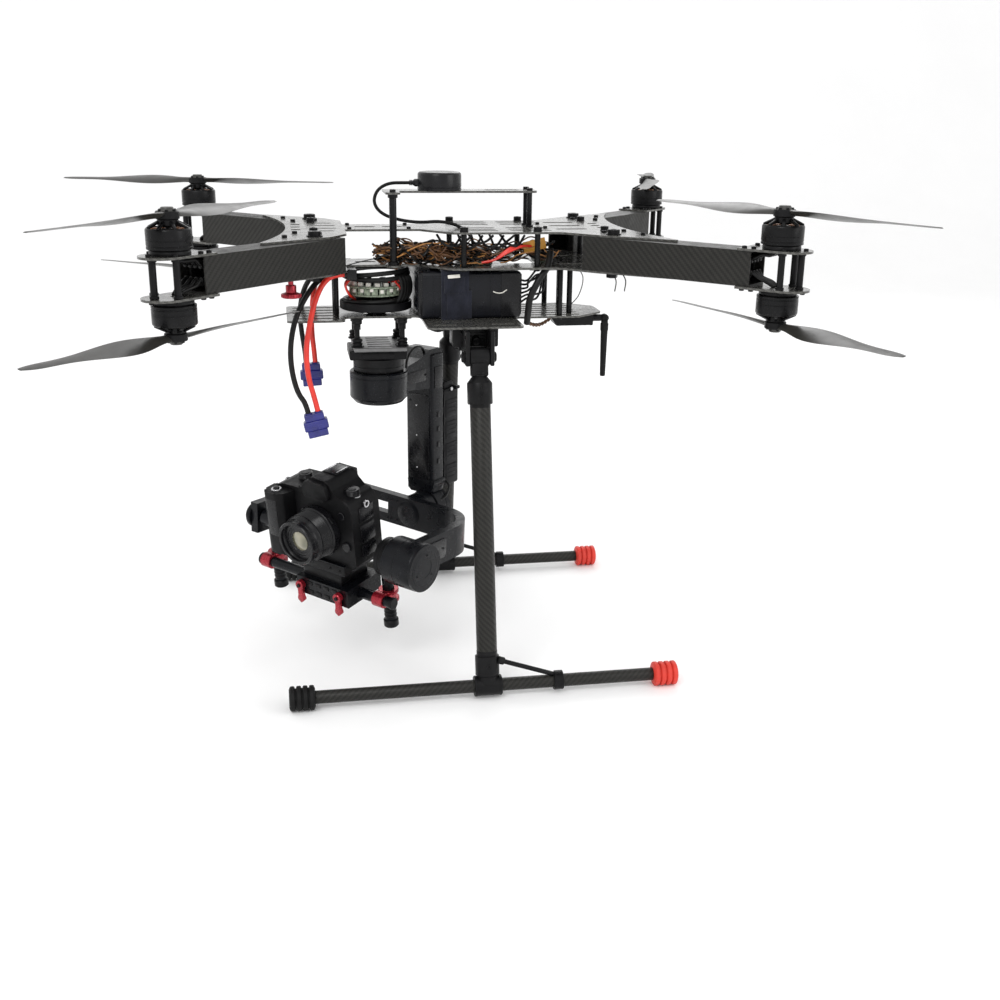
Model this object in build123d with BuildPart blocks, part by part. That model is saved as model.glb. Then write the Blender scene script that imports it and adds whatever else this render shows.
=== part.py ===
"""Folding coaxial X8 camera drone: carbon frame, eight motors, landing gear and a three-axis camera gimbal.

Millimetres, +Z up. The origin is on the floor under the middle of the aircraft.
-X is the nose, where the gimbal hangs, and +X is the tail.
"""

import os
from math import atan2, cos, degrees, hypot, radians, sin, tan

from build123d import *

os.makedirs("parts", exist_ok=True)

# ---- driving dimensions -------------------------------------------------------------------------
MOTOR_X = 324.0            # motor axes, measured from the middle of the aircraft
MOTOR_Y = 258.0
ARM_ANGLE = 46.0           # between an arm and the X axis
PIVOT_X = 176.0            # arm folding bolts
PIVOT_Y = MOTOR_Y - (MOTOR_X - PIVOT_X) * tan(radians(ARM_ANGLE))
ARM_SIDE = 39.4            # square carbon tube
ARM_WALL = 2.0
PLATE = 2.5                # thickness of every carbon plate
ARM_GAP = 0.3              # free space between an arm and each plate
ARM_LOW = 503.3            # underside of the arm tubes
ARM_HIGH = ARM_LOW + ARM_SIDE
TOP_PLATE_Z = ARM_HIGH + ARM_GAP
MIDDLE_PLATE_Z = ARM_LOW - ARM_GAP - PLATE
DECK_Z = 437.5             # underside of the lower deck
DECK_TOP = DECK_Z + PLATE

ARM_TAIL = 30.0            # tube behind the folding bolt
REACH = hypot(MOTOR_X - PIVOT_X, MOTOR_Y - PIVOT_Y)
TUBE_END = REACH - 27.0
BOLT_D = 8.0
RUNNING = 0.05             # radial clearance of a running fit

BELL_D = 46.0
BELL_H = 24.0
BELL_GAP = 1.0
BASE_H = 4.5
PROP_RADIUS = 190.5        # 15 inch propeller
HUB_Z = BASE_H + BELL_GAP + BELL_H + 6.0

LEG_X = 12.0
HINGE_Y = 122.0
HINGE_Z = 405.0
SKID_Y = 208.0
SKID_Z = 15.0
SKID_D = 16.0
SKID_HALF = 240.0
CAP_D = 30.0
CAP_L = 31.0
LEG_D = 25.0
LEG_LENGTH = hypot(SKID_Y - HINGE_Y, HINGE_Z - SKID_Z)
SPLAY = degrees(atan2(SKID_Y - HINGE_Y, HINGE_Z - SKID_Z))

GPS_Z = 587.0              # underside of the antenna platform
GPS_FRONT = (-80.0, -36.0)  # its front post stands beside the spar
GPS_BACK_X = 92.0
LOCK_ALONG = 42.0          # clamp screw under the front left arm, outboard of the folding bolt

PAN_X = -98.0              # pan axis of the gimbal
PAN_TURN = 225.0           # heading of the gimbal's forward direction
ROLL_Z = 156.0             # height of the roll axis
ROLL_LEAN = 2.2            # how far the camera leans about the roll axis
TILT_X = 80.0              # tilt axis, forward of the pan axis
TILT_DOWN = 8.0            # how far the lens points below level

STRAP_X = -8.0             # battery strap, through two slots in the lower deck
STRAP_W = 34.0
STRAP_T = 2.0

LEAD_D = 6.6               # silicone battery lead

CORNERS = {                # sign of X, sign of Y
    "front_left": (-1, -1),
    "front_right": (1, -1),
    "back_left": (-1, 1),
    "back_right": (1, 1),
}
BLADE_ANGLE = {            # direction of each blade pair when parked
    "front_left_top": 57.0, "front_left_bottom": 49.0,
    "front_right_top": -62.0, "front_right_bottom": -72.0,
    "back_left_top": -15.0, "back_left_bottom": -37.0,
    "back_right_top": 72.0, "back_right_bottom": 15.0,
}

UP = (Align.CENTER, Align.CENTER, Align.MIN)
DOWN = (Align.CENTER, Align.CENTER, Align.MAX)
MIDDLE = (Align.CENTER, Align.CENTER, Align.CENTER)


def keep(builder, name):
    """Label a finished piece and write it."""
    builder.part.label = name
    export_step(builder.part, f"parts/{name}.step")


# ---- frames -------------------------------------------------------------------------------------
def arm_frame(corner):
    """At the folding bolt, X outward along the arm, Z up, at floor height."""
    sx, sy = CORNERS[corner]
    heading = degrees(atan2(sy * sin(radians(ARM_ANGLE)), sx * cos(radians(ARM_ANGLE))))
    return Location((sx * PIVOT_X, sy * PIVOT_Y, 0), (0, 0, heading))


def rotor_frame(corner, level):
    """On the mount plate at the motor axis, Z away from the plate."""
    sx, sy = CORNERS[corner]
    if level == "top":
        return Location((sx * MOTOR_X, sy * MOTOR_Y, ARM_HIGH + PLATE))
    return Location((sx * MOTOR_X, sy * MOTOR_Y, ARM_LOW - PLATE), (180, 0, 0))


def leg_frame(side):
    """At the leg's hinge, -Z down along the leg. Side -1 is the viewer's side of the nose, +1 the other."""
    return Location((LEG_X, side * HINGE_Y, HINGE_Z), (side * SPLAY, 0, 0))


PAN = Location((PAN_X, 0, 0), (0, 0, PAN_TURN))
ROLL = PAN * Location((0, 0, ROLL_Z), (-ROLL_LEAN, 0, 0))
TILT = ROLL * Location((TILT_X, 0, 0), (0, TILT_DOWN, 0))


# ---- carbon plates ------------------------------------------------------------------------------
END_X = 240.0              # tips of the forked ends
FORK_APEX = 208.0          # bottom of the concave end
TIP_Y = 172.0
WAIST_Y = 112.0
SIDE_Y = 74.0              # half width over the battery
SPAR_Y = 31.0


def main_plate(bottom, name, top_slots):
    """Forked plate: a broad tail part, a narrow spar, and a forked nose part."""
    with BuildPart() as plate:
        with BuildSketch(Plane.XY.offset(bottom)) as outline:
            with BuildLine():
                Polyline((END_X, TIP_Y), (158, WAIST_Y), (118, SIDE_Y), (-12, SIDE_Y), (-48, SPAR_Y),
                         (-48, -SPAR_Y), (-12, -SIDE_Y), (118, -SIDE_Y), (158, -WAIST_Y), (END_X, -TIP_Y))
                ThreePointArc((END_X, -TIP_Y), (FORK_APEX, 0), (END_X, TIP_Y))
            make_face()
            with Locations((-93, 0)):
                Rectangle(120, 2 * SPAR_Y)
            with BuildLine():
                Polyline((-END_X, TIP_Y), (-158, WAIST_Y), (-138, 78), (-138, -78),
                         (-158, -WAIST_Y), (-END_X, -TIP_Y))
                ThreePointArc((-END_X, -TIP_Y), (-FORK_APEX, 0), (-END_X, TIP_Y))
            make_face()
            fillet(outline.vertices().filter_by(lambda v: abs(v.X) < 160 and abs(v.Y) > 70), radius=14)
            fillet(outline.vertices().filter_by(lambda v: abs(v.X) > END_X - 1), radius=3)
            # folding bolts, locking bolts and stack bolts
            with Locations(*[(sx * PIVOT_X, sy * PIVOT_Y) for sx, sy in CORNERS.values()]):
                Circle(BOLT_D / 2 + 0.1, mode=Mode.SUBTRACT)
            # slots along the spar and across both ends
            with Locations((-112, 0), (-78, 0)):
                SlotOverall(26, 9, mode=Mode.SUBTRACT)
            with Locations((-196, 30), (-196, -30), (-196, 0)):
                Rectangle(11, 9, mode=Mode.SUBTRACT)
            with Locations((-164, 46), (-164, -46), (-160, 16), (-160, -16)):
                SlotOverall(26, 7, mode=Mode.SUBTRACT)
            with Locations((182, 26), (182, -26), (180, 0)):
                Rectangle(11, 9, mode=Mode.SUBTRACT)
            if top_slots:
                with Locations(*[(x, y) for x in (20, 86) for y in (-54, -38, -21, 21, 38, 54)]):
                    SlotOverall(52, 7, mode=Mode.SUBTRACT)
                with Locations((140, 40), (140, -40), (140, 0)):
                    SlotOverall(40, 9, mode=Mode.SUBTRACT)
            else:
                with Locations(GPS_FRONT):
                    Circle(9)
                with Locations((76, 0)):
                    RectangleRounded(44, 60, 8, mode=Mode.SUBTRACT)
                lock = arm_frame("front_left") * Location((LOCK_ALONG, 0, 0))
                with Locations((lock.position.X, lock.position.Y)):
                    Circle(3.4, mode=Mode.SUBTRACT)
                with Locations((140, 40), (140, -40)):
                    SlotOverall(40, 9, mode=Mode.SUBTRACT)
        extrude(amount=PLATE)
    keep(plate, name)


main_plate(TOP_PLATE_Z, "top_plate", True)
main_plate(MIDDLE_PLATE_Z, "middle_plate", False)

with BuildPart() as lower_deck:
    with BuildSketch(Plane.XY.offset(DECK_Z)) as deck_outline:
        with Locations((-176, 0)):
            Rectangle(70, 112)
        with Locations((-40, 0)):
            Rectangle(230, 2 * SPAR_Y)
        with Locations((10, 0)):
            Rectangle(116, 236)
        with BuildLine():
            Polyline((66, 52), (150, 52), (186, 22), (186, -22), (150, -52), (66, -52), (66, 52))
        make_face()
        fillet(deck_outline.vertices().filter_by(lambda v: abs(v.Y) > 20), radius=7)
        with Locations(*[(-178, y) for y in (-40, -20, 0, 20, 40)]):
            SlotOverall(52, 7, mode=Mode.SUBTRACT)
        with Locations(*[(118, y) for y in (-40, -24, -8, 8, 24, 40)]):
            SlotOverall(70, 6, mode=Mode.SUBTRACT)
        with Locations((-98, 0)):
            SlotOverall(44, 18, mode=Mode.SUBTRACT)
        with Locations((STRAP_X, 61.5), (STRAP_X, -61.5)):
            Rectangle(STRAP_W + 4, 7, mode=Mode.SUBTRACT)
        with Locations(*[(x, y) for x in (-26, 46) for y in (-100, 100)]):
            SlotOverall(30, 7, mode=Mode.SUBTRACT)
    extrude(amount=PLATE)
keep(lower_deck, "lower_deck")


# ---- posts and bolts of the frame ---------------------------------------------------------------
STACK_POSTS = [(sx * 176, sy * 62) for sx in (-1, 1) for sy in (-1, 1)] + [(2, 66), (2, -66), (92, 66), (92, -66)]
DECK_POSTS = [(-150, -15), (-150, 15), (126, -46), (126, 46), (142, -30), (142, 30)]
POST_D = 7.0

with BuildPart() as frame_posts:
    # spacers between the top and middle plates, each with its cap screw above the top plate
    with Locations(*[(x, y, MIDDLE_PLATE_Z + PLATE) for x, y in STACK_POSTS]):
        Cylinder(POST_D / 2, TOP_PLATE_Z - MIDDLE_PLATE_Z - PLATE, align=UP)
    with Locations(*[(x, y, TOP_PLATE_Z + PLATE) for x, y in STACK_POSTS]):
        Cylinder(5.0, 5.5, align=UP)
    # spacers between the middle plate and the lower deck
    with Locations(*[(x, y, DECK_TOP) for x, y in DECK_POSTS]):
        Cylinder(POST_D / 2, MIDDLE_PLATE_Z - DECK_TOP, align=UP)
    # folding bolts: a shaft through both plates and the arm, with a head and a nut
    with Locations(*[(sx * PIVOT_X, sy * PIVOT_Y, MIDDLE_PLATE_Z) for sx, sy in CORNERS.values()]):
        Cylinder(BOLT_D / 2, TOP_PLATE_Z + PLATE - MIDDLE_PLATE_Z, align=UP)
    with Locations(*[(sx * PIVOT_X, sy * PIVOT_Y, TOP_PLATE_Z + PLATE) for sx, sy in CORNERS.values()]):
        Cylinder(7.5, 6.0, align=UP)
    with Locations(*[(sx * PIVOT_X, sy * PIVOT_Y, MIDDLE_PLATE_Z) for sx, sy in CORNERS.values()]):
        Cylinder(7.0, 6.0, align=DOWN)
keep(frame_posts, "frame_posts")


# ---- arms and motor mounts ----------------------------------------------------------------------
def arm_tube(corner):
    """Square carbon tube with a bush for the folding bolt through its inner end."""
    frame = arm_frame(corner)
    length = TUBE_END + ARM_TAIL
    with BuildPart(Plane(frame * Location(((TUBE_END - ARM_TAIL) / 2, 0, ARM_LOW)))) as tube:
        Box(length, ARM_SIDE, ARM_SIDE, align=UP)
        with Locations((0, 0, ARM_WALL)):
            Box(length + 1, ARM_SIDE - 2 * ARM_WALL, ARM_SIDE - 2 * ARM_WALL, align=UP, mode=Mode.SUBTRACT)
        with Locations((ARM_TAIL - length / 2, 0, 0)):
            Cylinder(8, ARM_SIDE, align=UP)
            Cylinder(BOLT_D / 2 + RUNNING, ARM_SIDE, align=UP, mode=Mode.SUBTRACT)
    keep(tube, f"{corner}_arm")


MOUNT_W = 46.0
MOUNT_POSTS = [(24.0, 0.0), (9.0, 18.0), (9.0, -18.0)]
STATOR_D = 38.0


def motor_mount(corner):
    """Two plates on the end of the arm, their posts, and the fixed half of both motors."""
    frame = arm_frame(corner)
    with BuildPart(Plane(frame * Location((REACH, 0, 0)))) as mount:
        for low in (ARM_HIGH, ARM_LOW - PLATE):
            with Locations((-14, 0, low)):
                Box(56, MOUNT_W, PLATE, align=UP)
            with Locations((12, 0, low)):
                Cylinder(MOUNT_W / 2, PLATE, align=UP)
        with Locations(*[(x, y, ARM_LOW) for x, y in MOUNT_POSTS]):
            Cylinder(3.2, ARM_SIDE, align=UP)
        # fixed halves: base ring, core and bearing bore
        with Locations((0, 0, ARM_HIGH + PLATE)):
            Cylinder(20, BASE_H, align=UP)
            Cylinder(STATOR_D / 2, BASE_H + 19, align=UP)
        with Locations((0, 0, ARM_LOW - PLATE)):
            Cylinder(20, BASE_H, align=DOWN)
            Cylinder(STATOR_D / 2, BASE_H + 19, align=DOWN)
        with Locations((0, 0, ARM_HIGH)):
            Cylinder(3 + RUNNING, 60, align=UP, mode=Mode.SUBTRACT)
        with Locations((0, 0, ARM_LOW)):
            Cylinder(3 + RUNNING, 60, align=DOWN, mode=Mode.SUBTRACT)
    keep(mount, f"{corner}_motor_mount")


def bell(corner, level):
    """Rotating can of one motor, with its shaft and the vented cone that carries the hub."""
    with BuildPart(Plane(rotor_frame(corner, level))) as can:
        rim = BASE_H + BELL_GAP
        with Locations((0, 0, rim)):
            Cylinder(BELL_D / 2, BELL_H - 4, align=UP)
        with Locations((0, 0, rim + BELL_H - 4)):
            Cone(BELL_D / 2, 15, 8, align=UP)
        with Locations((0, 0, rim + BELL_H + 4)):
            Cylinder(9, HUB_Z - rim - BELL_H - 4, align=UP)
        with Locations((0, 0, rim)):
            Cylinder(BELL_D / 2 - 3, BELL_H - 4, align=UP, mode=Mode.SUBTRACT)
        with PolarLocations(15.5, 8):
            with Locations((0, 0, rim + BELL_H - 5)):
                Cylinder(2.4, 14, align=UP, mode=Mode.SUBTRACT)
        with Locations((0, 0, 0.5)):
            Cylinder(3, rim + BELL_H, align=UP)
    keep(can, f"{corner}_{level}_bell")


BLADE_SECTIONS = [         # distance from the axis, chord, thickness, pitch, offset of the middle of the chord
    (8.0, 13.0, 6.0, 24.0, 0.0),
    (30.0, 17.0, 4.2, 25.0, 0.5),
    (62.0, 30.0, 3.2, 19.0, 3.0),
    (110.0, 24.0, 2.4, 13.0, 2.5),
    (158.0, 15.0, 1.8, 9.0, 1.0),
    (PROP_RADIUS, 7.0, 1.3, 7.0, -1.0),
]


def propeller(corner, level):
    """Two-blade propeller under a round cap. Every section is a thin lens, set at its own pitch."""
    hub = rotor_frame(corner, level) * Location((0, 0, HUB_Z))
    name = f"{corner}_{level}"
    sx, sy = CORNERS[corner]
    flip = -1 if level == "bottom" else 1
    hand = sx * sy * flip
    with BuildPart() as prop:
        with Locations(hub):
            Cylinder(11, 7, align=UP)
        with Locations(hub * Location((0, 0, 7))):
            Cone(8.5, 6, 4, align=UP)
        for half in (0, 180):
            turn = hub * Location((0, 0, 3.5), (0, 0, flip * BLADE_ANGLE[name] + half))
            for r, chord, thick, pitch, shift in BLADE_SECTIONS:
                along = Plane(origin=(r, 0, 0), x_dir=(0, 1, 0), z_dir=(1, 0, 0)).location
                place = Location((hand * shift, 0, 0), (0, 0, hand * pitch))
                with BuildSketch(Plane(turn * along * place)):
                    with BuildLine():
                        ThreePointArc((-chord / 2, 0), (0, 0.6 * thick), (chord / 2, 0))
                        ThreePointArc((chord / 2, 0), (0, -0.4 * thick), (-chord / 2, 0))
                    make_face()
            loft()
    keep(prop, f"{name}_propeller")


for corner in CORNERS:
    arm_tube(corner)
    motor_mount(corner)
    for level in ("top", "bottom"):
        bell(corner, level)
        propeller(corner, level)


# ---- antenna platform ---------------------------------------------------------------------------
PUCK = (-19.0, 0.0)

with BuildPart() as gps_platform:
    with BuildSketch(Plane.XY.offset(GPS_Z)):
        with Locations(((GPS_FRONT[0] + GPS_BACK_X) / 2, 0)):
            RectangleRounded(GPS_BACK_X - GPS_FRONT[0] + 18, 34, 5)
        with Locations((GPS_FRONT[0], -26)):
            RectangleRounded(18, 36, 5)
        with Locations((58, 0)):
            SlotOverall(44, 10, mode=Mode.SUBTRACT)
    extrude(amount=PLATE)
    # the front post stands on the middle plate beside the spar, the back pair on the top plate
    with Locations((*GPS_FRONT, MIDDLE_PLATE_Z + PLATE)):
        Cylinder(4.2, GPS_Z - MIDDLE_PLATE_Z - PLATE, align=UP)
    back_posts = [(GPS_BACK_X, -12), (GPS_BACK_X, 12)]
    with Locations(*[(*post, TOP_PLATE_Z + PLATE) for post in back_posts]):
        Cylinder(3.0, GPS_Z - TOP_PLATE_Z - PLATE, align=UP)
    with Locations(*[(*post, GPS_Z + PLATE) for post in [GPS_FRONT] + back_posts]):
        Cylinder(3.6, 3, align=UP)
keep(gps_platform, "gps_platform")

PUCK_R = 27.0
with BuildPart() as gps_puck:
    with Locations((*PUCK, GPS_Z + PLATE)):
        Cylinder(PUCK_R, 18, align=UP)
    with Locations((*PUCK, GPS_Z + PLATE + 18)):
        Cone(PUCK_R, PUCK_R - 4, 4, align=UP)
keep(gps_puck, "gps_puck")


# ---- battery ------------------------------------------------------------------------------------
BATTERY = (11.0, 0.0)
BATTERY_SIZE = (128.0, 120.0, 57.0)

with BuildPart() as battery_pack:
    with Locations((*BATTERY, DECK_TOP)):
        Box(*BATTERY_SIZE, align=UP)
    fillet(battery_pack.edges().filter_by(Axis.Z), radius=5)
keep(battery_pack, "battery_pack")

with BuildPart() as battery_strap:
    slack = 0.3
    inner_width = BATTERY_SIZE[1] + 2 * slack
    inner_height = PLATE + BATTERY_SIZE[2] + 2 * slack
    with Locations((STRAP_X, 0, DECK_Z - slack - STRAP_T)):
        Box(STRAP_W, inner_width + 2 * STRAP_T, inner_height + 2 * STRAP_T, align=UP)
    with Locations((STRAP_X, 0, DECK_Z - slack)):
        Box(STRAP_W, inner_width, inner_height, align=UP, mode=Mode.SUBTRACT)
keep(battery_strap, "battery_strap")


# ---- electronics --------------------------------------------------------------------------------
TRAY = (-100.0, 0.0)
TRAY_Z = 446.0

with BuildPart() as cable_tray:
    # a round dish on a stem, open at the top
    with Locations((*TRAY, DECK_TOP)):
        Cylinder(12, TRAY_Z - DECK_TOP, align=UP)
    with Locations((*TRAY, TRAY_Z)):
        Cylinder(45, 10, align=UP)
    with Locations((*TRAY, TRAY_Z + 2)):
        Cylinder(42.5, 8, align=UP, mode=Mode.SUBTRACT)
    with Locations((*TRAY, TRAY_Z + 2)):
        Cylinder(6, 26, align=UP)
keep(cable_tray, "cable_tray")

with BuildPart() as circuit_boards:
    # round power board on the dish's stem
    with Locations((*TRAY, TRAY_Z + 28)):
        Cylinder(36, 2, align=UP)
    with Locations((TRAY[0] - 12, -14, TRAY_Z + 30), (TRAY[0] + 14, 12, TRAY_Z + 30)):
        Box(16, 12, 8, align=UP)
    # terminal block that the battery leads leave from, under the middle plate
    with Locations((-132, 0, MIDDLE_PLATE_Z)):
        Box(12, 112, 13, align=DOWN)
    # flight controller and receiver on the middle plate
    with Locations((24, 0, MIDDLE_PLATE_Z + PLATE)):
        Box(40, 50, 16, align=UP)
    with Locations((112, 4, MIDDLE_PLATE_Z + PLATE)):
        Box(18, 46, 12, align=UP)
keep(circuit_boards, "circuit_boards")

WHIP_X = 195.0             # pin of the antenna's elbow
WHIP_Y = -9.0
WHIP_Z = DECK_Z - 8.0

with BuildPart() as video_transmitter:
    with BuildSketch(Plane.XZ.offset(24)):
        with BuildLine():
            Polyline((118, DECK_Z), (128, DECK_Z - 15), (176, DECK_Z - 15), (176, DECK_Z), (118, DECK_Z))
        make_face()
    extrude(amount=-30)
    # antenna socket and the fixed half of its elbow
    with Locations((176, -9, DECK_Z - 8)):
        Cylinder(4.5, WHIP_X - 6.5 - 176, rotation=(0, 90, 0), align=UP)
    with Locations((WHIP_X - 7, WHIP_Y, WHIP_Z)):
        Box(11.5, 3.0, 9, align=(Align.MIN, Align.CENTER, Align.CENTER))
    with Locations((WHIP_X, WHIP_Y, WHIP_Z)):
        Cylinder(1.6 - RUNNING, 9, rotation=(90, 0, 0))
keep(video_transmitter, "video_transmitter")

with BuildPart() as antenna_whip:
    # forked knuckle around the elbow's pin, then the tapering whip
    for side in (-1, 1):
        with Locations((WHIP_X, WHIP_Y + side * 3.4, WHIP_Z)):
            Cylinder(4.5, 3.0, rotation=(90, 0, 0))
            Cylinder(1.6, 3.2, rotation=(90, 0, 0), mode=Mode.SUBTRACT)
        with Locations((WHIP_X, WHIP_Y + side * 3.4, WHIP_Z - 2)):
            Box(7, 3.0, 8, align=DOWN)
    with Locations((WHIP_X, WHIP_Y, WHIP_Z - 7)):
        Cylinder(5.2, 10, align=DOWN)
    with Locations((WHIP_X, WHIP_Y, WHIP_Z - 17)):
        Cone(3.6, 4.8, 60, align=DOWN)
keep(antenna_whip, "antenna_whip")

with BuildPart(Plane(arm_frame("front_left") * Location((LOCK_ALONG, 0, ARM_LOW - 0.4)))) as arm_lock_knob:
    Cylinder(3.0, 14, align=DOWN)
    with Locations((0, 0, -8)):
        Cylinder(6.0, 9, align=DOWN)
    with Locations((0, 0, -17)):
        Cylinder(11.0, 5, align=DOWN)
keep(arm_lock_knob, "arm_lock_knob")


# ---- landing gear -------------------------------------------------------------------------------
CHEEK_T = 5.0
CHEEK_GAP = 24.6

with BuildPart() as retract_housings:
    for side in (-1, 1):
        # motor box under the deck
        with Locations((LEG_X, side * (HINGE_Y - 40), DECK_Z)):
            Box(56, 32, 26, align=DOWN)
        # two cheeks that carry the hinge pin
        for x in (-1, 1):
            with Locations((LEG_X + x * (CHEEK_GAP / 2 + CHEEK_T / 2), side * (HINGE_Y - 8), DECK_Z)):
                Box(CHEEK_T, 40, 42, align=DOWN)
        with Locations((LEG_X, side * HINGE_Y, HINGE_Z)):
            Cylinder(4 - RUNNING, CHEEK_GAP + 2 * CHEEK_T + 4, rotation=(0, 90, 0))
keep(retract_housings, "retract_housings")

SLEEVE_TOP = 24.0          # clamp sleeve below the hinge
SLEEVE_END = 56.0
TEE_H = 38.0


def landing_leg(side, name):
    """Knuckle, neck, clamp sleeve, carbon tube and the tee that holds the skid."""
    with BuildPart(Plane(leg_frame(side))) as leg:
        Cylinder(11, CHEEK_GAP - 0.6, rotation=(0, 90, 0))
        Box(CHEEK_GAP - 4, 16, 22, align=DOWN)
        with Locations((0, 0, -18)):
            Cylinder(9.5, 16, align=DOWN)
        with Locations((0, 0, -SLEEVE_TOP)):
            Cone(15, 10.5, 6, align=DOWN)
        with Locations((0, 0, -SLEEVE_TOP - 6)):
            Cylinder(15, SLEEVE_END - SLEEVE_TOP - 6, align=DOWN)
        with Locations((0, 0, -SLEEVE_END)):
            Cylinder(LEG_D / 2, LEG_LENGTH - SLEEVE_END - SKID_D / 2 - 2, align=DOWN)
        with Locations((0, 0, -LEG_LENGTH + TEE_H)):
            Cylinder(14.5, TEE_H, align=DOWN)
        with Locations((0, 0, -LEG_LENGTH)):
            Cylinder(12.5, 34, rotation=(0, 90, 0))
            Cylinder(SKID_D / 2, 60, rotation=(0, 90, 0), mode=Mode.SUBTRACT)
        Cylinder(4, CHEEK_GAP + 4, rotation=(0, 90, 0), mode=Mode.SUBTRACT)
    keep(leg, name)


STAY_FOOT = (88.0, 7.0)    # stay rod, along the skid and above its middle
STAY_HEAD = (16.5, 32.0)


def skid(side, name):
    """Skid tube with a grooved rubber cap on each end, and the stay rod that braces it."""
    foot = Location((LEG_X, side * SKID_Y, SKID_Z))
    with BuildPart(Plane(foot)) as bar:
        Cylinder(SKID_D / 2, 2 * (SKID_HALF - 8), rotation=(0, 90, 0))
        for end in (-1, 1):
            with Locations((end * (SKID_HALF - CAP_L / 2), 0, 0)):
                Cylinder(CAP_D / 2, CAP_L, rotation=(0, 90, 0))
            with Locations(*[(end * (SKID_HALF - CAP_L / 2) + x, 0, 0) for x in (-8, 0, 8)]):
                Cylinder(CAP_D / 2 + 1, 2.4, rotation=(0, 90, 0), mode=Mode.SUBTRACT)
                Cylinder(CAP_D / 2 - 3, 2.6, rotation=(0, 90, 0))
        # stay rod and its clamp ring
        run, rise = STAY_FOOT[0] - STAY_HEAD[0], STAY_HEAD[1] - STAY_FOOT[1]
        with Locations(((STAY_FOOT[0] + STAY_HEAD[0]) / 2, 0, (STAY_FOOT[1] + STAY_HEAD[1]) / 2)):
            Cylinder(3, hypot(run, rise), rotation=(0, 90 + degrees(atan2(rise, run)), 0))
        with Locations((STAY_FOOT[0], 0, 0)):
            Cylinder(11, 12, rotation=(0, 90, 0))
    keep(bar, name)


for side, name in ((-1, "front"), (1, "rear")):
    landing_leg(side, f"{name}_leg")
    skid(side, f"{name}_skid")


# ---- gimbal: the fixed half -----------------------------------------------------------------------
HANGER_Z = 397.0           # underside of the top plate of the gimbal
PAN_SHAFT_R = 6.0
PAN_SEAM = 367.0           # between the fixed and the turning half of the pan motor

with BuildPart(Plane((PAN_X, 0, 0))) as gimbal_hanger:
    with Locations((0, 0, HANGER_Z)):
        Box(66, 84, 5, align=UP)
    # quick-release block and the fixed half of the pan motor
    with Locations((-2, 0, HANGER_Z)):
        Box(72, 64, 12, align=DOWN)
    with Locations((0, 0, HANGER_Z - 12)):
        Cylinder(32, HANGER_Z - 12 - PAN_SEAM, align=DOWN)
    with Locations((0, 0, PAN_SEAM)):
        Cylinder(PAN_SHAFT_R, 16, align=DOWN)
    # four rods with rubber dampers
    with Locations(*[(x, y, HANGER_Z + 5) for x in (-28, 28) for y in (-30, 30)]):
        Cylinder(3.2, DECK_Z - HANGER_Z - 5, align=UP)
        Cylinder(6.5, 11, align=UP)
    with Locations(*[(x, y, DECK_Z) for x in (-28, 28) for y in (-30, 30)]):
        Cylinder(6.0, 6, align=DOWN)
keep(gimbal_hanger, "gimbal_hanger")


# ---- gimbal: pan stage ----------------------------------------------------------------------------
COLUMN_FRONT = -92.0       # column behind the pan axis, in the gimbal's own X
COLUMN_BACK = -120.0
COLUMN_Y = (-32.0, 14.0)
COLUMN_MID = sum(COLUMN_Y) / 2
COLUMN_TOP = 372.0
ROLL_SHAFT_R = 5.0

with BuildPart(Plane(PAN)) as pan_column:
    with Locations(((COLUMN_FRONT + COLUMN_BACK) / 2, COLUMN_MID, 178)):
        Box(COLUMN_FRONT - COLUMN_BACK, COLUMN_Y[1] - COLUMN_Y[0], COLUMN_TOP - 178, align=UP)
    fillet(pan_column.edges().filter_by(Axis.Z), radius=4)
    # arm back to the column, and the turning half of the pan motor
    with Locations((COLUMN_BACK / 2 - 4, COLUMN_MID, 346)):
        Box(-COLUMN_BACK - 8, 40, 36)
    with Locations((0, 0, PAN_SEAM - 0.6)):
        Cylinder(37, 34, align=DOWN)
    with Locations((0, 0, PAN_SEAM - 34.6)):
        Cone(31, 37, 6, align=DOWN)
    # fixed half of the roll motor at the foot of the column
    with Locations((COLUMN_BACK, 0, ROLL_Z)):
        Cylinder(25, 27.4, rotation=(0, 90, 0), align=UP)
    with Locations((COLUMN_BACK + 20, 0, ROLL_Z)):
        Cylinder(ROLL_SHAFT_R, 26, rotation=(0, 90, 0), align=UP)
    with Locations((0, 0, PAN_SEAM - 0.6)):
        Cylinder(PAN_SHAFT_R + RUNNING, 16, align=DOWN, mode=Mode.SUBTRACT)
keep(pan_column, "pan_column")

with BuildPart(Plane(PAN)) as gimbal_battery:
    with Locations((COLUMN_BACK - 0.3, COLUMN_MID + 1, 180)):
        Box(35, 40, 138, align=(Align.MAX, Align.CENTER, Align.MIN))
    fillet(gimbal_battery.edges().filter_by(Axis.Z), radius=3)
    with Locations((COLUMN_BACK - 8, COLUMN_MID + 1, 318)):
        Box(20, 30, 9, align=(Align.MAX, Align.CENTER, Align.MIN))
keep(gimbal_battery, "gimbal_battery")


# ---- gimbal: roll stage ---------------------------------------------------------------------------
YOKE_BACK = -68.0
YOKE_LEFT = -150.0
YOKE_RIGHT = 112.0
YOKE_T = 12.0
TILT_R = 30.0
TILT_SEAM = 90.0           # between the turning and the fixed half of the tilt motor
TILT_FACE = 137.0
TILT_SHAFT_R = 5.0
BEARING_SHAFT_R = 4.0

YOKE_FRONT = TILT_X + 12
YOKE_CORNERS = [           # corner of the yoke in plan, and its rounding
    (YOKE_BACK, YOKE_LEFT, 30.0),
    (YOKE_BACK, YOKE_RIGHT, 50.0),
    (YOKE_BACK + YOKE_T, YOKE_LEFT + YOKE_T, 18.0),
    (YOKE_BACK + YOKE_T, YOKE_RIGHT - YOKE_T, 38.0),
]

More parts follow.
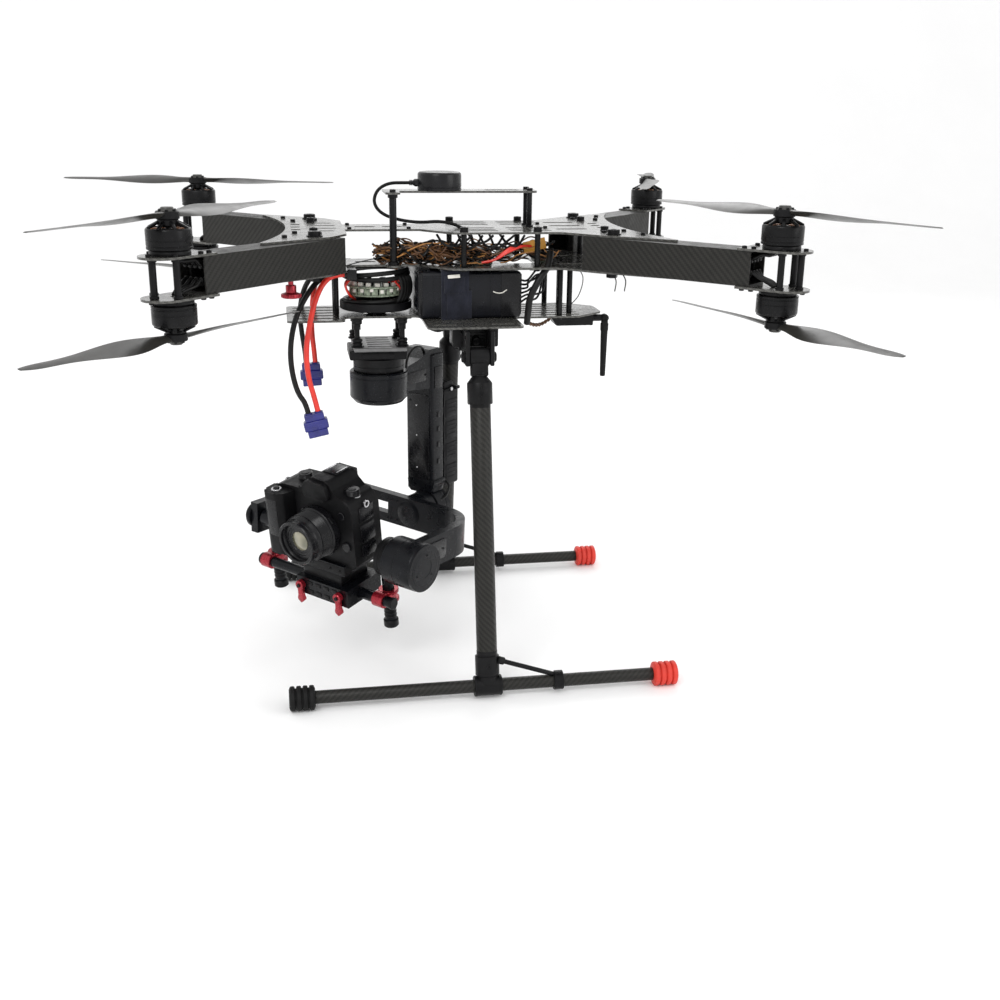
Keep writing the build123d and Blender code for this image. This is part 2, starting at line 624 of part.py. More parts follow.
with BuildPart(Plane(ROLL)) as roll_arm:
    # U-shaped yoke around the camera
    with BuildSketch(Plane(ROLL * Location((0, 0, -21)))) as yoke:
        with BuildLine():
            Polyline((YOKE_FRONT, YOKE_LEFT), (YOKE_BACK, YOKE_LEFT), (YOKE_BACK, YOKE_RIGHT),
                     (YOKE_FRONT, YOKE_RIGHT), (YOKE_FRONT, YOKE_RIGHT - YOKE_T),
                     (YOKE_BACK + YOKE_T, YOKE_RIGHT - YOKE_T), (YOKE_BACK + YOKE_T, YOKE_LEFT + YOKE_T),
                     (YOKE_FRONT, YOKE_LEFT + YOKE_T), (YOKE_FRONT, YOKE_LEFT))
        make_face()
        for x, y, radius in YOKE_CORNERS:
            fillet(yoke.vertices().filter_by(lambda v: abs(v.X - x) < 1 and abs(v.Y - y) < 1), radius=radius)
    extrude(amount=42)
    # windows through the back of the yoke
    with Locations((YOKE_BACK + YOKE_T / 2, -62, 0)):
        Box(40, 52, 16, mode=Mode.SUBTRACT)
    with Locations((YOKE_BACK + YOKE_T / 2, -106, 0)):
        Box(40, 18, 16, mode=Mode.SUBTRACT)
    # turning half of the roll motor
    with Locations((YOKE_BACK - 24, 0, 0)):
        Cylinder(23, 25, rotation=(0, 90, 0), align=UP)
    with Locations((YOKE_BACK - 24, 0, 0)):
        Cylinder(ROLL_SHAFT_R + RUNNING, 20, rotation=(0, 90, 0), align=UP, mode=Mode.SUBTRACT)
    # fixed half of the tilt motor with its shaft
    with Locations((TILT_X, TILT_SEAM, 0)):
        Cylinder(TILT_R, TILT_FACE - TILT_SEAM, rotation=(-90, 0, 0), align=UP)
    with Locations((TILT_X, TILT_SEAM + 1, 0)):
        Cylinder(TILT_SHAFT_R, 15, rotation=(90, 0, 0), align=UP)
    # bearing on the other side
    with Locations((TILT_X, YOKE_LEFT, 0)):
        Cylinder(14, 8, rotation=(90, 0, 0), align=UP)
    with Locations((TILT_X, YOKE_LEFT + YOKE_T - 1, 0)):
        Cylinder(BEARING_SHAFT_R, 12, rotation=(-90, 0, 0), align=UP)
keep(roll_arm, "roll_arm")


# ---- gimbal: tilt stage ---------------------------------------------------------------------------
STRUT_R = 7.5
STRUT_LEFT = -121.0
STRUT_RIGHT = 74.0
STRUT_FOOT = -100.0
BAR_X = 16.0
BAR_Z = -55.0
BAR_R = 7.0
BAR_ENDS = (-134.0, 92.0)
BLOCK_X = (-20.0, 44.0)
BLOCK_Y = (-42.0, 44.0)
CAMERA_FOOT = -8.0
LEVER_Z = -50.0
LEVER_Y = {"left": -33.0, "right": 31.0}
PIN_R = 2.5

with BuildPart(Plane(TILT)) as camera_cage:
    with Locations((0, STRUT_LEFT, STRUT_FOOT), (0, STRUT_RIGHT, STRUT_FOOT)):
        Cylinder(STRUT_R, -STRUT_FOOT + 12, align=UP)
        Cylinder(STRUT_R + 1.5, 7, align=UP)
    # bearing boss on the left strut, turning half of the tilt motor on the right strut
    with Locations((0, STRUT_LEFT - 13, 0)):
        Cylinder(11, 18, rotation=(-90, 0, 0), align=UP)
    with Locations((0, STRUT_LEFT - 13.5, 0)):
        Cylinder(BEARING_SHAFT_R + RUNNING, 10, rotation=(-90, 0, 0), align=UP, mode=Mode.SUBTRACT)
    with Locations((0, STRUT_RIGHT, 0)):
        Cylinder(24, TILT_SEAM - 0.6 - STRUT_RIGHT, rotation=(-90, 0, 0), align=UP)
    with Locations((0, TILT_SEAM, 0)):
        Cylinder(TILT_SHAFT_R + RUNNING, 16, rotation=(90, 0, 0), align=UP, mode=Mode.SUBTRACT)
    # cross bar, base block and the plate that the camera stands on
    with Locations((BAR_X, BAR_ENDS[0], BAR_Z)):
        Cylinder(BAR_R, BAR_ENDS[1] - BAR_ENDS[0], rotation=(-90, 0, 0), align=UP)
    block = ((BLOCK_X[0] + BLOCK_X[1]) / 2, (BLOCK_Y[0] + BLOCK_Y[1]) / 2)
    with Locations((*block, -64)):
        Box(BLOCK_X[1] - BLOCK_X[0], BLOCK_Y[1] - BLOCK_Y[0], 24, align=UP)
    with Locations((block[0], block[1] - 4, -40)):
        Box(50, 64, 18, align=UP)
    with Locations((block[0], block[1] - 8, -22)):
        Box(56, 92, CAMERA_FOOT - 0.2 + 22, align=UP)
    with Locations(*[(BLOCK_X[1], y, LEVER_Z) for y in LEVER_Y.values()]):
        Cylinder(PIN_R, 9, rotation=(0, 90, 0), align=UP)
keep(camera_cage, "camera_cage")

with BuildPart(Plane(TILT)) as cage_clamps:
    # each clamp ties a strut to the cross bar
    for y in (STRUT_LEFT, STRUT_RIGHT):
        with Locations((9, y, BAR_Z)):
            Box(38, 22, 15)
    for y in (STRUT_LEFT, STRUT_RIGHT):
        with Locations((0, y, BAR_Z)):
            Cylinder(STRUT_R, 40, mode=Mode.SUBTRACT)
    with Locations((BAR_X, 0, BAR_Z)):
        Cylinder(BAR_R, 400, rotation=(90, 0, 0), mode=Mode.SUBTRACT)
keep(cage_clamps, "cage_clamps")

for hand, y in LEVER_Y.items():
    with BuildPart(Plane(TILT * Location((BLOCK_X[1] + 0.4, y, LEVER_Z)))) as lever:
        Cylinder(6, 7, rotation=(0, 90, 0), align=UP)
        with Locations((3.5, 0, -3)):
            Box(6, 6, 20, align=DOWN)
        fillet(lever.edges().filter_by(lambda e: e.length > 5.9 and e.length < 6.1), radius=1.2)
        Cylinder(PIN_R + RUNNING, 30, rotation=(0, 90, 0), mode=Mode.SUBTRACT)
    keep(lever, f"clamp_lever_{hand}")

LENS_Y = 2.0
LENS_Z = 34.0
LENS_LENGTH = 45.0
BODY_X = (-16.0, 36.0)
BODY_Y = (-74.0, 56.0)
SHOULDER = 82.0

with BuildPart(Plane(TILT)) as camera_body:
    with Locations((sum(BODY_X) / 2, sum(BODY_Y) / 2, CAMERA_FOOT)):
        Box(BODY_X[1] - BODY_X[0], BODY_Y[1] - BODY_Y[0], SHOULDER - CAMERA_FOOT, align=UP)
    # hand grip
    with Locations((BODY_X[1] - 1, BODY_Y[0], CAMERA_FOOT)):
        Box(22, 34, SHOULDER - CAMERA_FOOT - 4, align=(Align.MIN, Align.MIN, Align.MIN))
    fillet(camera_body.edges().filter_by(lambda e: abs(e.length - (SHOULDER - CAMERA_FOOT - 4)) < 1), radius=9)
    # viewfinder hump
    with Locations((6, LENS_Y + 4, SHOULDER - 1)):
        Box(54, 54, 14, align=UP)
    with Locations((4, LENS_Y + 5, SHOULDER + 13)):
        Box(42, 38, 9, align=UP)
    # two dials on the shoulder
    with Locations((8, BODY_Y[0] + 32, SHOULDER), (12, BODY_Y[1] - 18, SHOULDER)):
        Cylinder(9, 8, align=UP)
    # hole for the shutter button
    with Locations((BODY_X[1] + 8, BODY_Y[0] + 15, SHOULDER)):
        Cylinder(4.2, 26, mode=Mode.SUBTRACT)
keep(camera_body, "camera_body")

with BuildPart(Plane(TILT * Location((BODY_X[1], LENS_Y, LENS_Z)))) as camera_lens:
    Cylinder(33, 12, rotation=(0, 90, 0), align=UP)
    with Locations((12, 0, 0)):
        Cylinder(31, 20, rotation=(0, 90, 0), align=UP)
    with Locations((32, 0, 0)):
        Cylinder(28, LENS_LENGTH - 32, rotation=(0, 90, 0), align=UP)
    with Locations((LENS_LENGTH - 5, 0, 0)):
        Cylinder(24, 10, rotation=(0, 90, 0), align=UP, mode=Mode.SUBTRACT)
keep(camera_lens, "camera_lens")

BUTTON_TRAVEL = 1.5
with BuildPart(Plane(TILT * Location((BODY_X[1] + 8, BODY_Y[0] + 15, SHOULDER - 4)))) as shutter_button:
    with Locations((0, 0, -1.5)):
        Cylinder(4.0, 5.5, align=UP)
keep(shutter_button, "shutter_button")


# ---- cords --------------------------------------------------------------------------------------
def bend_radii(points):
    """Radius for every inner point: 0.45 of the shorter run over the tangent of half the turn."""
    radii = []
    for before, here, after in zip(points, points[1:], points[2:]):
        run_in, run_out = Vector(*here) - Vector(*before), Vector(*after) - Vector(*here)
        half_turn = radians(run_in.get_angle(run_out)) / 2
        radii.append(0.45 * min(run_in.length, run_out.length) / tan(half_turn))
    return radii


def cord(points, diameter, name):
    """Tube along a route of straight runs joined by tangent arcs."""
    radii = bend_radii(points)
    with BuildPart() as tube:
        with BuildLine() as route:
            FilletPolyline(*points, radius=radii)
        with BuildSketch(Plane(origin=points[0], z_dir=Vector(*points[1]) - Vector(*points[0]))):
            Circle(diameter / 2)
        sweep(path=route.wires()[0])
    length = route.wires()[0].length
    section = 3.14159 * diameter ** 2 / 4
    print(f"{name}: length {length:.0f}, volume over section times length "
          f"{tube.part.volume / (section * length):.4f}, radii {[round(r) for r in radii]}")
    keep(tube, name)


PLUG_TOP = {"front": (-184.0, -67.0, 329.0), "rear": (-182.0, 70.0, 362.0)}
PLUG_LEAN = {"front": -12.0, "rear": -3.0}
PLUG_PITCH = 6.0           # half the spacing of the two leads in a plug


def plug_frame(name):
    return Location(PLUG_TOP[name], (0, PLUG_LEAN[name], 0))


def plug_entry(name, side, above=0.0):
    place = plug_frame(name) * Location((side * PLUG_PITCH, 0, above))
    return tuple(place.position)


LEADS = {
    "red_lead_front": [(-138, -46, 494), (-154, -46, 494), (-168, -55, 484), (-178, -65, 464),
                       (-184, -72, 441), (-189, -73, 417), (-190, -71, 393), (-187.5, -69, 369),
                       plug_entry("front", 1, 20), plug_entry("front", 1)],
    "black_lead_front": [(-138, -32, 494), (-154, -32, 494), (-171, -42, 488), (-187, -56, 471),
                         (-200, -69, 449), (-207, -75, 424), (-209, -74, 399), (-206.5, -71, 374),
                         (-201, -68, 353), plug_entry("front", -1, 14), plug_entry("front", -1)],
    "red_lead_rear": [(-138, 46, 494), (-153, 46, 494), (-166, 56, 484), (-174, 67, 464),
                      (-177, 73, 441), (-179, 74, 417), (-178.5, 72, 395), plug_entry("rear", 1, 14),
                      plug_entry("rear", 1)],
    "black_lead_rear": [(-138, 32, 494), (-154, 32, 494), (-170, 44, 487), (-183, 58, 471),
                        (-191, 70, 449), (-194, 75, 425), (-192, 73, 401), plug_entry("rear", -1, 16),
                        plug_entry("rear", -1)],
}
for name, points in LEADS.items():
    cord(points, LEAD_D, name)

for name in ("front", "rear"):
    with BuildPart(Plane(plug_frame(name))) as plug:
        Box(24, 13, 9, align=DOWN)
        with Locations((0, 0, -9)):
            Box(30, 15, 12, align=DOWN)
        with Locations((0, 0, -21)):
            Box(25, 12, 9, align=DOWN)
    keep(plug, f"{name}_connector")

# antenna cable, held from the antenna to the flight controller under the top plate
GPS_CABLE_D = 4.0
GPS_CABLE = [(-46, 0, 598), (-62, 0, 598), (-82, -3, 598), (-97, -9, 590), (-102, -15, 575), (-92, -19, 562),
             (-70, -21, 555), (-45, -20, 552), (-22, -21, 554), (-2, -22, 550), (14, -21.5, 541), (20, -21, 531),
             (20, -21, 519)]
cord(GPS_CABLE, GPS_CABLE_D, "gps_cable")
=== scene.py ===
"""Looks of the coaxial camera drone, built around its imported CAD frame.

Numbers are millimetres in the row frame and are scaled to metres when a mesh is finished.
-X is the nose, +X the tail, +Z up.
"""

import math
import random

import bmesh
import bpy
from mathutils import Matrix, Vector


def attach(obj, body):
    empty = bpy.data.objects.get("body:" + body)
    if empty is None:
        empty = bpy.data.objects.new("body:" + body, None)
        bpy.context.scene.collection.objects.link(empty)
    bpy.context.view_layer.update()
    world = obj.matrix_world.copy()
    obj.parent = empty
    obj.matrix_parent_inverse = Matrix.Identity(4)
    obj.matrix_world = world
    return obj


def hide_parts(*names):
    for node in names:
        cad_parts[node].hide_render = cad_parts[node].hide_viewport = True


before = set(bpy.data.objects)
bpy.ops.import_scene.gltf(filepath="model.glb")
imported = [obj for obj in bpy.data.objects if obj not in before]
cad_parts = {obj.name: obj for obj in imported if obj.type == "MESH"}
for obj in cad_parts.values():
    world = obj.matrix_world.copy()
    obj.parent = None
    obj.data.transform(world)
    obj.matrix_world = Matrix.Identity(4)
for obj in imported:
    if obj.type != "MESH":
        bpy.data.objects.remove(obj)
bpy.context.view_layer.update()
MM = 0.001
ON_AXIS = 1e-6        # a smaller radius is a point on the axis
SHARP = 34            # edges that bend by more degrees than this are not smoothed
TAU = 2 * math.pi


# ---- placing ----
def at(x=0.0, y=0.0, z=0.0, rx=0.0, ry=0.0, rz=0.0):
    """A place: a move, then turns in degrees about its own X, Y and Z."""
    turn = Matrix.Rotation(math.radians(rx), 4, "X")
    turn = turn @ Matrix.Rotation(math.radians(ry), 4, "Y")
    turn = turn @ Matrix.Rotation(math.radians(rz), 4, "Z")
    return Matrix.Translation((x, y, z)) @ turn


ALONG_X = at(ry=90)         # local Z along the frame's X
ALONG_Y = at(rx=-90)        # local Z along the frame's Y
WORLD = at()
YZX = Matrix(((0, 0, 1, 0), (1, 0, 0, 0), (0, 1, 0, 0), (0, 0, 0, 1)))      # local X, Y, Z along Y, Z, X
XZY = Matrix(((1, 0, 0, 0), (0, 0, 1, 0), (0, 1, 0, 0), (0, 0, 0, 1)))      # local X, Y, Z along X, Z, Y

MOTOR_X, MOTOR_Y, ARM_ANGLE, PIVOT_X = 324.0, 258.0, 46.0, 176.0
PIVOT_Y = MOTOR_Y - (MOTOR_X - PIVOT_X) * math.tan(math.radians(ARM_ANGLE))
REACH = math.hypot(MOTOR_X - PIVOT_X, MOTOR_Y - PIVOT_Y)
ARM_LOW, ARM_HIGH, PLATE = 503.3, 542.7, 2.5
TOP_Z = ARM_HIGH + 0.3 + PLATE          # upper face of the top plate
MID_Z = ARM_LOW - 0.3                   # upper face of the middle plate
DECK_Z, DECK_TOP = 437.5, 440           # faces of the lower deck
PAN_X, ROLL_Z = -98.0, 156.0            # the gimbal's first two axes
DISH_X = -100                           # axis of the cable dish and of the round boards
CORNERS = {"front_left": (-1, -1), "front_right": (1, -1), "back_left": (-1, 1), "back_right": (1, 1)}


def arm_place(corner):
    """At the folding bolt, X outward along the arm."""
    sx, sy = CORNERS[corner]
    a = math.radians(ARM_ANGLE)
    heading = math.degrees(math.atan2(sy * math.sin(a), sx * math.cos(a)))
    return at(sx * PIVOT_X, sy * PIVOT_Y, 0, rz=heading)


def rotor_place(corner, level):
    """On the mount plate at the motor axis, Z away from the plate."""
    sx, sy = CORNERS[corner]
    if level == "top":
        return at(sx * MOTOR_X, sy * MOTOR_Y, ARM_HIGH + PLATE)
    return at(sx * MOTOR_X, sy * MOTOR_Y, ARM_LOW - PLATE, rx=180)


LEG_X, HINGE_Y, HINGE_Z, SKID_Y, SKID_Z = 12.0, 122.0, 405.0, 208.0, 15.0
LEG_R, SKID_R, SKID_HALF = 12.5, 8.0, 234.0     # tube radii and half the skid's length
SPLAY = math.degrees(math.atan2(SKID_Y - HINGE_Y, HINGE_Z - SKID_Z))
LEG_LENGTH = math.hypot(SKID_Y - HINGE_Y, HINGE_Z - SKID_Z)
PAN = at(PAN_X, 0, 0, rz=225)
ROLL = PAN @ at(0, 0, ROLL_Z, rx=-2.2)
TILT = ROLL @ at(80, 0, 0, ry=8)


def leg_place(side):
    """At the leg's hinge, -Z down along the leg."""
    return at(LEG_X, side * HINGE_Y, HINGE_Z, rx=side * SPLAY)


def add_object(name, data):
    """New object in the scene."""
    obj = bpy.data.objects.new(name, data)
    bpy.context.scene.collection.objects.link(obj)
    return obj


# ---- mesh kit ----
PIECES = []             # made but not yet handed to the frame


class Piece:
    """One Blender object, built up from simple closed forms, that rides on a body."""

    def __init__(self, name, body, mat, slot=None, replaces=(), base=WORLD):
        self.name, self.body, self.mat, self.slot = name, body, mat, slot or mat
        self.nodes, self.base = replaces, base
        self.bm = bmesh.new()
        PIECES.append(self)

    def box(self, place, size, r=0.8, segments=2):
        """Box centred on place, its edges rounded."""
        made = bmesh.ops.create_cube(self.bm, size=1)["verts"]
        for v in made:
            v.co = Vector(v.co[i] * size[i] for i in range(3))
        edges = list({e for v in made for e in v.link_edges})
        r = min(r, 0.45 * min(size))
        out = bmesh.ops.bevel(self.bm, geom=edges, offset=r, segments=segments, profile=0.5, affect="EDGES")
        new = set(out["verts"]) | {v for v in made if v.is_valid}
        bmesh.ops.transform(self.bm, matrix=self.base @ place, verts=list(new))

    def rev(self, place, profile, n=40, closed=False):
        """Surface of revolution about local Z through (radius, height) points."""
        self._rev(self.base @ place, profile, n, closed)

    def turned(self, place, profile, n=40):
        """The same, closed over flat at both ends."""
        self.rev(place, [(0, profile[0][1]), *profile, (0, profile[-1][1])], n)

    def ring(self, place, profile, n=40):
        """The same round a hole: the last point joins the first."""
        self.rev(place, profile, n, True)

    def collar(self, place, inner, outer, low, high, edge, n=40):
        """Plain ring whose outer rims are cut back by edge, if that is not 0."""
        outline = [(outer - edge, low), (outer, low + edge), (outer, high - edge), (outer - edge, high)]
        if not edge:
            outline = [(outer, low), (outer, high)]
        self.ring(place, [(inner, low), *outline, (inner, high)], n)

    def _rev(self, place, profile, n, closed=False):
        rings = []
        for r, z in profile:
            circle = [(r * math.cos(TAU * i / n), r * math.sin(TAU * i / n), z) for i in range(n)]
            spots = circle if r > ON_AXIS else [(0, 0, z)]
            rings.append([self.bm.verts.new(place @ Vector(p)) for p in spots])
        pairs = list(zip(rings, rings[1:]))
        if closed:
            pairs.append((rings[-1], rings[0]))
        for a, b in pairs:
            for i in range(n):
                j = (i + 1) % n
                if len(a) == 1 and len(b) == 1:
                    continue
                if len(a) == 1:
                    self.bm.faces.new((a[0], b[j], b[i]))
                elif len(b) == 1:
                    self.bm.faces.new((a[i], a[j], b[0]))
                else:
                    self.bm.faces.new((a[i], a[j], b[j], b[i]))

    def rod(self, start, end, r, bevel=0.4, n=20, place=WORLD):
        """Cylinder with rounded rims between two points."""
        a, b = self.base @ place @ Vector(start), self.base @ place @ Vector(end)
        along = b - a
        turn = Matrix.Translation(a) @ along.to_track_quat("Z", "Y").to_matrix().to_4x4()
        k, h = min(bevel, 0.4 * r), along.length
        rim = [(0, 0), (r - k, 0), (r - 0.3 * k, 0.3 * k), (r, k)]
        self._rev(turn, rim + [(x, h - z) for x, z in reversed(rim)], n)

    def prism(self, place, outline, low, high, r=0.0, segments=2):
        """Polygon pushed up from low to high, its upper and lower rims rounded."""
        a = [self.bm.verts.new(Vector((x, y, low))) for x, y in outline]
        b = [self.bm.verts.new(Vector((x, y, high))) for x, y in outline]
        n = len(outline)
        self.bm.faces.new(list(reversed(a)))
        self.bm.faces.new(b)
        for i in range(n):
            self.bm.faces.new((a[i], a[(i + 1) % n], b[(i + 1) % n], b[i]))
        new = set(a) | set(b)
        if r:
            rims = [self.bm.edges.get((s[i], s[(i + 1) % n])) for s in (a, b) for i in range(n)]
            out = bmesh.ops.bevel(self.bm, geom=rims, offset=r, segments=segments, profile=0.5,
                    affect="EDGES")
            new = {v for v in new if v.is_valid} | set(out["verts"])
        bmesh.ops.transform(self.bm, matrix=self.base @ place, verts=list(new))

    def loft(self, place, loops, cap=True):
        """Skin over closed loops that have the same number of points."""
        place = self.base @ place
        rings = [[self.bm.verts.new(place @ Vector(p)) for p in loop] for loop in loops]
        n = len(rings[0])
        for a, b in zip(rings, rings[1:]):
            for i in range(n):
                self.bm.faces.new((a[i], a[(i + 1) % n], b[(i + 1) % n], b[i]))
        if cap:
            self.bm.faces.new(list(reversed(rings[0])))
            self.bm.faces.new(rings[-1])

    def screw(self, place, r=2.8, h=2.4, n=18):
        """Socket cap screw standing on place, its head along local Z."""
        k, s = 0.35, 0.52 * r
        self.rev(place, [(0, 0), (r, 0), (r, h - k), (r - k, h), (s, h), (s, 0.45 * h), (0, 0.45 * h)], n)

    def tube(self, points, r, n=10):
        """Round tube along a smooth line of points."""
        line = [Vector(p) for p in points]
        side = None
        rings = []
        for i, p in enumerate(line):
            ahead = (line[min(i + 1, len(line) - 1)] - line[max(i - 1, 0)]).normalized()
            if side is None:
                side = ahead.orthogonal().normalized()
            side = (side - ahead * side.dot(ahead)).normalized()
            up = ahead.cross(side)
            rings.append([p + r * (side * math.cos(TAU * k / n) + up * math.sin(TAU * k / n)) for k
                    in range(n)])
        self.loft(WORLD, rings)

    def boxes(self, *rows):
        """Boxes from rows of centre, size, rounding and, if it is not 2, segments."""
        for centre, *rest in rows:
            self.box(at(*centre), *rest)

    def wire(self, points, steps, r, n=8):
        """Round tube along a smooth line through a few points."""
        self.tube(smooth_line(points, steps), r, n)

    def done(self):
        """Makes the object, in metres, and hands it to the frame."""
        PIECES.remove(self)
        bmesh.ops.recalc_face_normals(self.bm, faces=self.bm.faces)
        mesh = bpy.data.meshes.new(self.name)
        bmesh.ops.scale(self.bm, vec=(MM, MM, MM), verts=self.bm.verts)
        self.bm.to_mesh(mesh)
        self.bm.free()
        mesh.polygons.foreach_set("use_smooth", [True] * len(mesh.polygons))
        mesh.set_sharp_from_angle(angle=math.radians(SHARP))
        obj = add_object(self.name, mesh)
        mesh.materials.append(MATS[self.mat])
        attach(obj, self.body)
        if self.nodes:
            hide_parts(*self.nodes)
        return obj


def rounded(points, r, segments=5):
    """Polygon with every corner rounded, or each by its own radius."""
    out = []
    n = len(points)
    for i in range(n):
        p, a, b = (Vector(points[k % n]) for k in (i, i - 1, i + 1))
        radius = r[i] if isinstance(r, (list, tuple)) else r
        u, v = (a - p).normalized(), (b - p).normalized()
        half = math.acos(max(-1, min(1, u.dot(v)))) / 2
        cut = min(radius / math.tan(half), 0.48 * (a - p).length, 0.48 * (b - p).length)
        if radius <= 0 or cut < 1e-4:
            out.append(tuple(p))
            continue
        centre = p + (u + v).normalized() * (cut / math.cos(half))
        start, end = p + u * cut, p + v * cut
        for k in range(segments + 1):
            t = k / segments
            w = start.lerp(end, t) - centre
            out.append(tuple(centre + w.normalized() * (start - centre).length))
    return out


def oblong(width, depth, r, segments=4):
    """Rounded rectangle round the origin."""
    x, y = width / 2, depth / 2
    return rounded([(x, y), (-x, y), (-x, -y), (x, -y)], r, segments)


def smooth_line(points, steps=6):
    """Catmull-Rom line through points."""
    pts = [Vector(p) for p in points]
    pts = [2 * pts[0] - pts[1]] + pts + [2 * pts[-1] - pts[-2]]
    out = []
    for a, b, c, d in zip(pts, pts[1:], pts[2:], pts[3:]):
        for k in range(steps):
            t = k / steps
            out.append(0.5 * ((2 * b) + (c - a) * t + (2 * a - 5 * b + 4 * c - d) * t * t
                    + (3 * b - a - 3 * c + d) * t ** 3))
    out.append(pts[-2])
    return out


# ---- materials ----
MATS = {}


class Nodes:
    """Short hand for building a node tree."""

    def __init__(self, name):
        self.mat = bpy.data.materials.new(name)
        self.mat.use_nodes = True
        self.tree = self.mat.node_tree
        self.tree.nodes.clear()
        self.shader = self.node("ShaderNodeBsdfPrincipled")
        out = self.node("ShaderNodeOutputMaterial")
        self.link(self.shader.outputs[0], out.inputs["Surface"])
        self.coords = self.node("ShaderNodeTexCoord").outputs["Object"]
        MATS[name] = self.mat

    def node(self, kind, **settings):
        n = self.tree.nodes.new(kind)
        for key, value in settings.items():
            setattr(n, key, value)
        return n

    def link(self, source, target):
        self.tree.links.new(source, target)

    def math(self, kind, a, b=0.0):
        n = self.node("ShaderNodeMath", operation=kind)
        for i, value in enumerate((a, b)):
            if isinstance(value, (int, float)):
                n.inputs[i].default_value = value
            else:
                self.link(value, n.inputs[i])
        return n.outputs[0]

    def add(self, a, b):
        return self.math("ADD", a, b)

    def sub(self, a, b):
        return self.math("SUBTRACT", a, b)

    def mul(self, a, b):
        return self.math("MULTIPLY", a, b)

    def noise(self, scale, detail=3.0, rough=0.55, coords=None):
        n = self.node("ShaderNodeTexNoise")
        n.inputs["Scale"].default_value = scale
        n.inputs["Detail"].default_value = detail
        n.inputs["Roughness"].default_value = rough
        self.link(coords or self.coords, n.inputs["Vector"])
        return n.outputs["Fac"]

    def remap(self, value, low, high, to_low, to_high):
        n = self.node("ShaderNodeMapRange")
        for i, number in enumerate((low, high, to_low, to_high)):
            n.inputs[i + 1].default_value = number
        self.link(value, n.inputs[0])
        return n.outputs[0]

    def mix(self, factor, a, b):
        n = self.node("ShaderNodeMix", data_type="RGBA")
        self.link(factor, n.inputs[0])
        for value, socket in ((a, n.inputs[6]), (b, n.inputs[7])):
            if isinstance(value, (tuple, list)):
                socket.default_value = (*value[:3], 1)
            else:
                self.link(value, socket)
        return n.outputs[2]

    def bump(self, height, strength, distance):
        n = self.node("ShaderNodeBump")
        n.inputs["Strength"].default_value = strength
        n.inputs["Distance"].default_value = distance
        self.link(height, n.inputs["Height"])
        self.link(n.outputs[0], self.shader.inputs["Normal"])

    def colour(self, factor, a, b):
        self.link(self.mix(factor, a, b), self.shader.inputs["Base Color"])

    def gloss(self, value, low, high, to_low, to_high):
        self.link(self.remap(value, low, high, to_low, to_high), self.shader.inputs["Roughness"])

    def set(self, **values):
        for key, value in values.items():
            self.shader.inputs[key.replace("_", " ")].default_value = value
        return self


def shade(colour, k):
    """The colour k times as bright."""
    return tuple(min(1.0, c * k) for c in colour)


def plain(name, colour, rough, metal=0.0, coat=0.0, tone=0.25, mottle=60.0, grain=900.0, bump=0.12,
        depth=0.0002, spread=0.12, shine=0.5):
    """Painted, moulded or cast surface: soft colour drift, uneven gloss and a fine skin."""
    m = Nodes(name)
    drift = m.remap(m.noise(mottle), 0.3, 0.7, 0, 1)
    m.colour(drift, shade(colour, 1 - tone), shade(colour, 1 + tone))
    m.gloss(m.noise(mottle * 2.3, 4), 0.25, 0.75, max(0.03, rough - spread), min(1, rough + spread))
    m.bump(m.noise(grain, 2), bump, depth)
    m.set(Metallic=metal, Coat_Weight=coat, Coat_Roughness=0.18, Specular_IOR_Level=shine)


def weave(name, place, tow=1.9, light=(0.026, 0.025, 0.022), dark=(0.008, 0.008, 0.007), rough=0.4,
        around=0.0, coat=0.0, strength=0.4, shine=0.28):
    """Twill-woven carbon. place is the part's own frame, around the radius of a round tube."""
    m = Nodes(name)
    back = place.inverted()
    turn = back.to_euler("XYZ")
    mapping = m.node("ShaderNodeMapping")
    mapping.inputs["Rotation"].default_value = turn
    mapping.inputs["Location"].default_value = Vector(back.translation) * MM
    m.link(m.coords, mapping.inputs["Vector"])
    split = m.node("ShaderNodeSeparateXYZ")
    m.link(mapping.outputs[0], split.inputs[0])
    x, y, z = split.outputs
    if around:
        angle = m.math("ARCTAN2", y, x)
        u, v = m.mul(angle, around * MM), z
    else:
        normal = m.node("ShaderNodeSeparateXYZ")
        m.link(m.node("ShaderNodeNewGeometry").outputs["Normal"], normal.inputs[0])
        flat = m.math("GREATER_THAN", m.math("ABSOLUTE", normal.outputs[2]), 0.7)
        u = x
        v = m.add(m.mul(flat, y), m.mul(m.sub(1.0, flat), z))
    u, v = m.math("DIVIDE", u, tow * MM), m.math("DIVIDE", v, tow * MM)
    step = m.add(m.math("FLOOR", u), m.math("FLOOR", v))
    over = m.math("LESS_THAN", m.math("FLOORED_MODULO", step, 4.0), 1.5)
    hump_u = m.math("SINE", m.mul(m.math("FRACT", u), math.pi))
    hump_v = m.math("SINE", m.mul(m.math("FRACT", v), math.pi))
    hump = m.add(m.mul(over, hump_u), m.mul(m.sub(1.0, over), hump_v))
    tone = m.add(m.mul(over, 0.55), m.mul(m.noise(140.0), 0.45))
    m.colour(tone, dark, light)
    m.gloss(m.noise(90.0, 4), 0.3, 0.7, rough - 0.08, rough + 0.1)
    m.bump(hump, strength, 0.00025)
    m.set(Coat_Weight=coat, Coat_Roughness=0.12, Metallic=0.15, Specular_IOR_Level=shine)


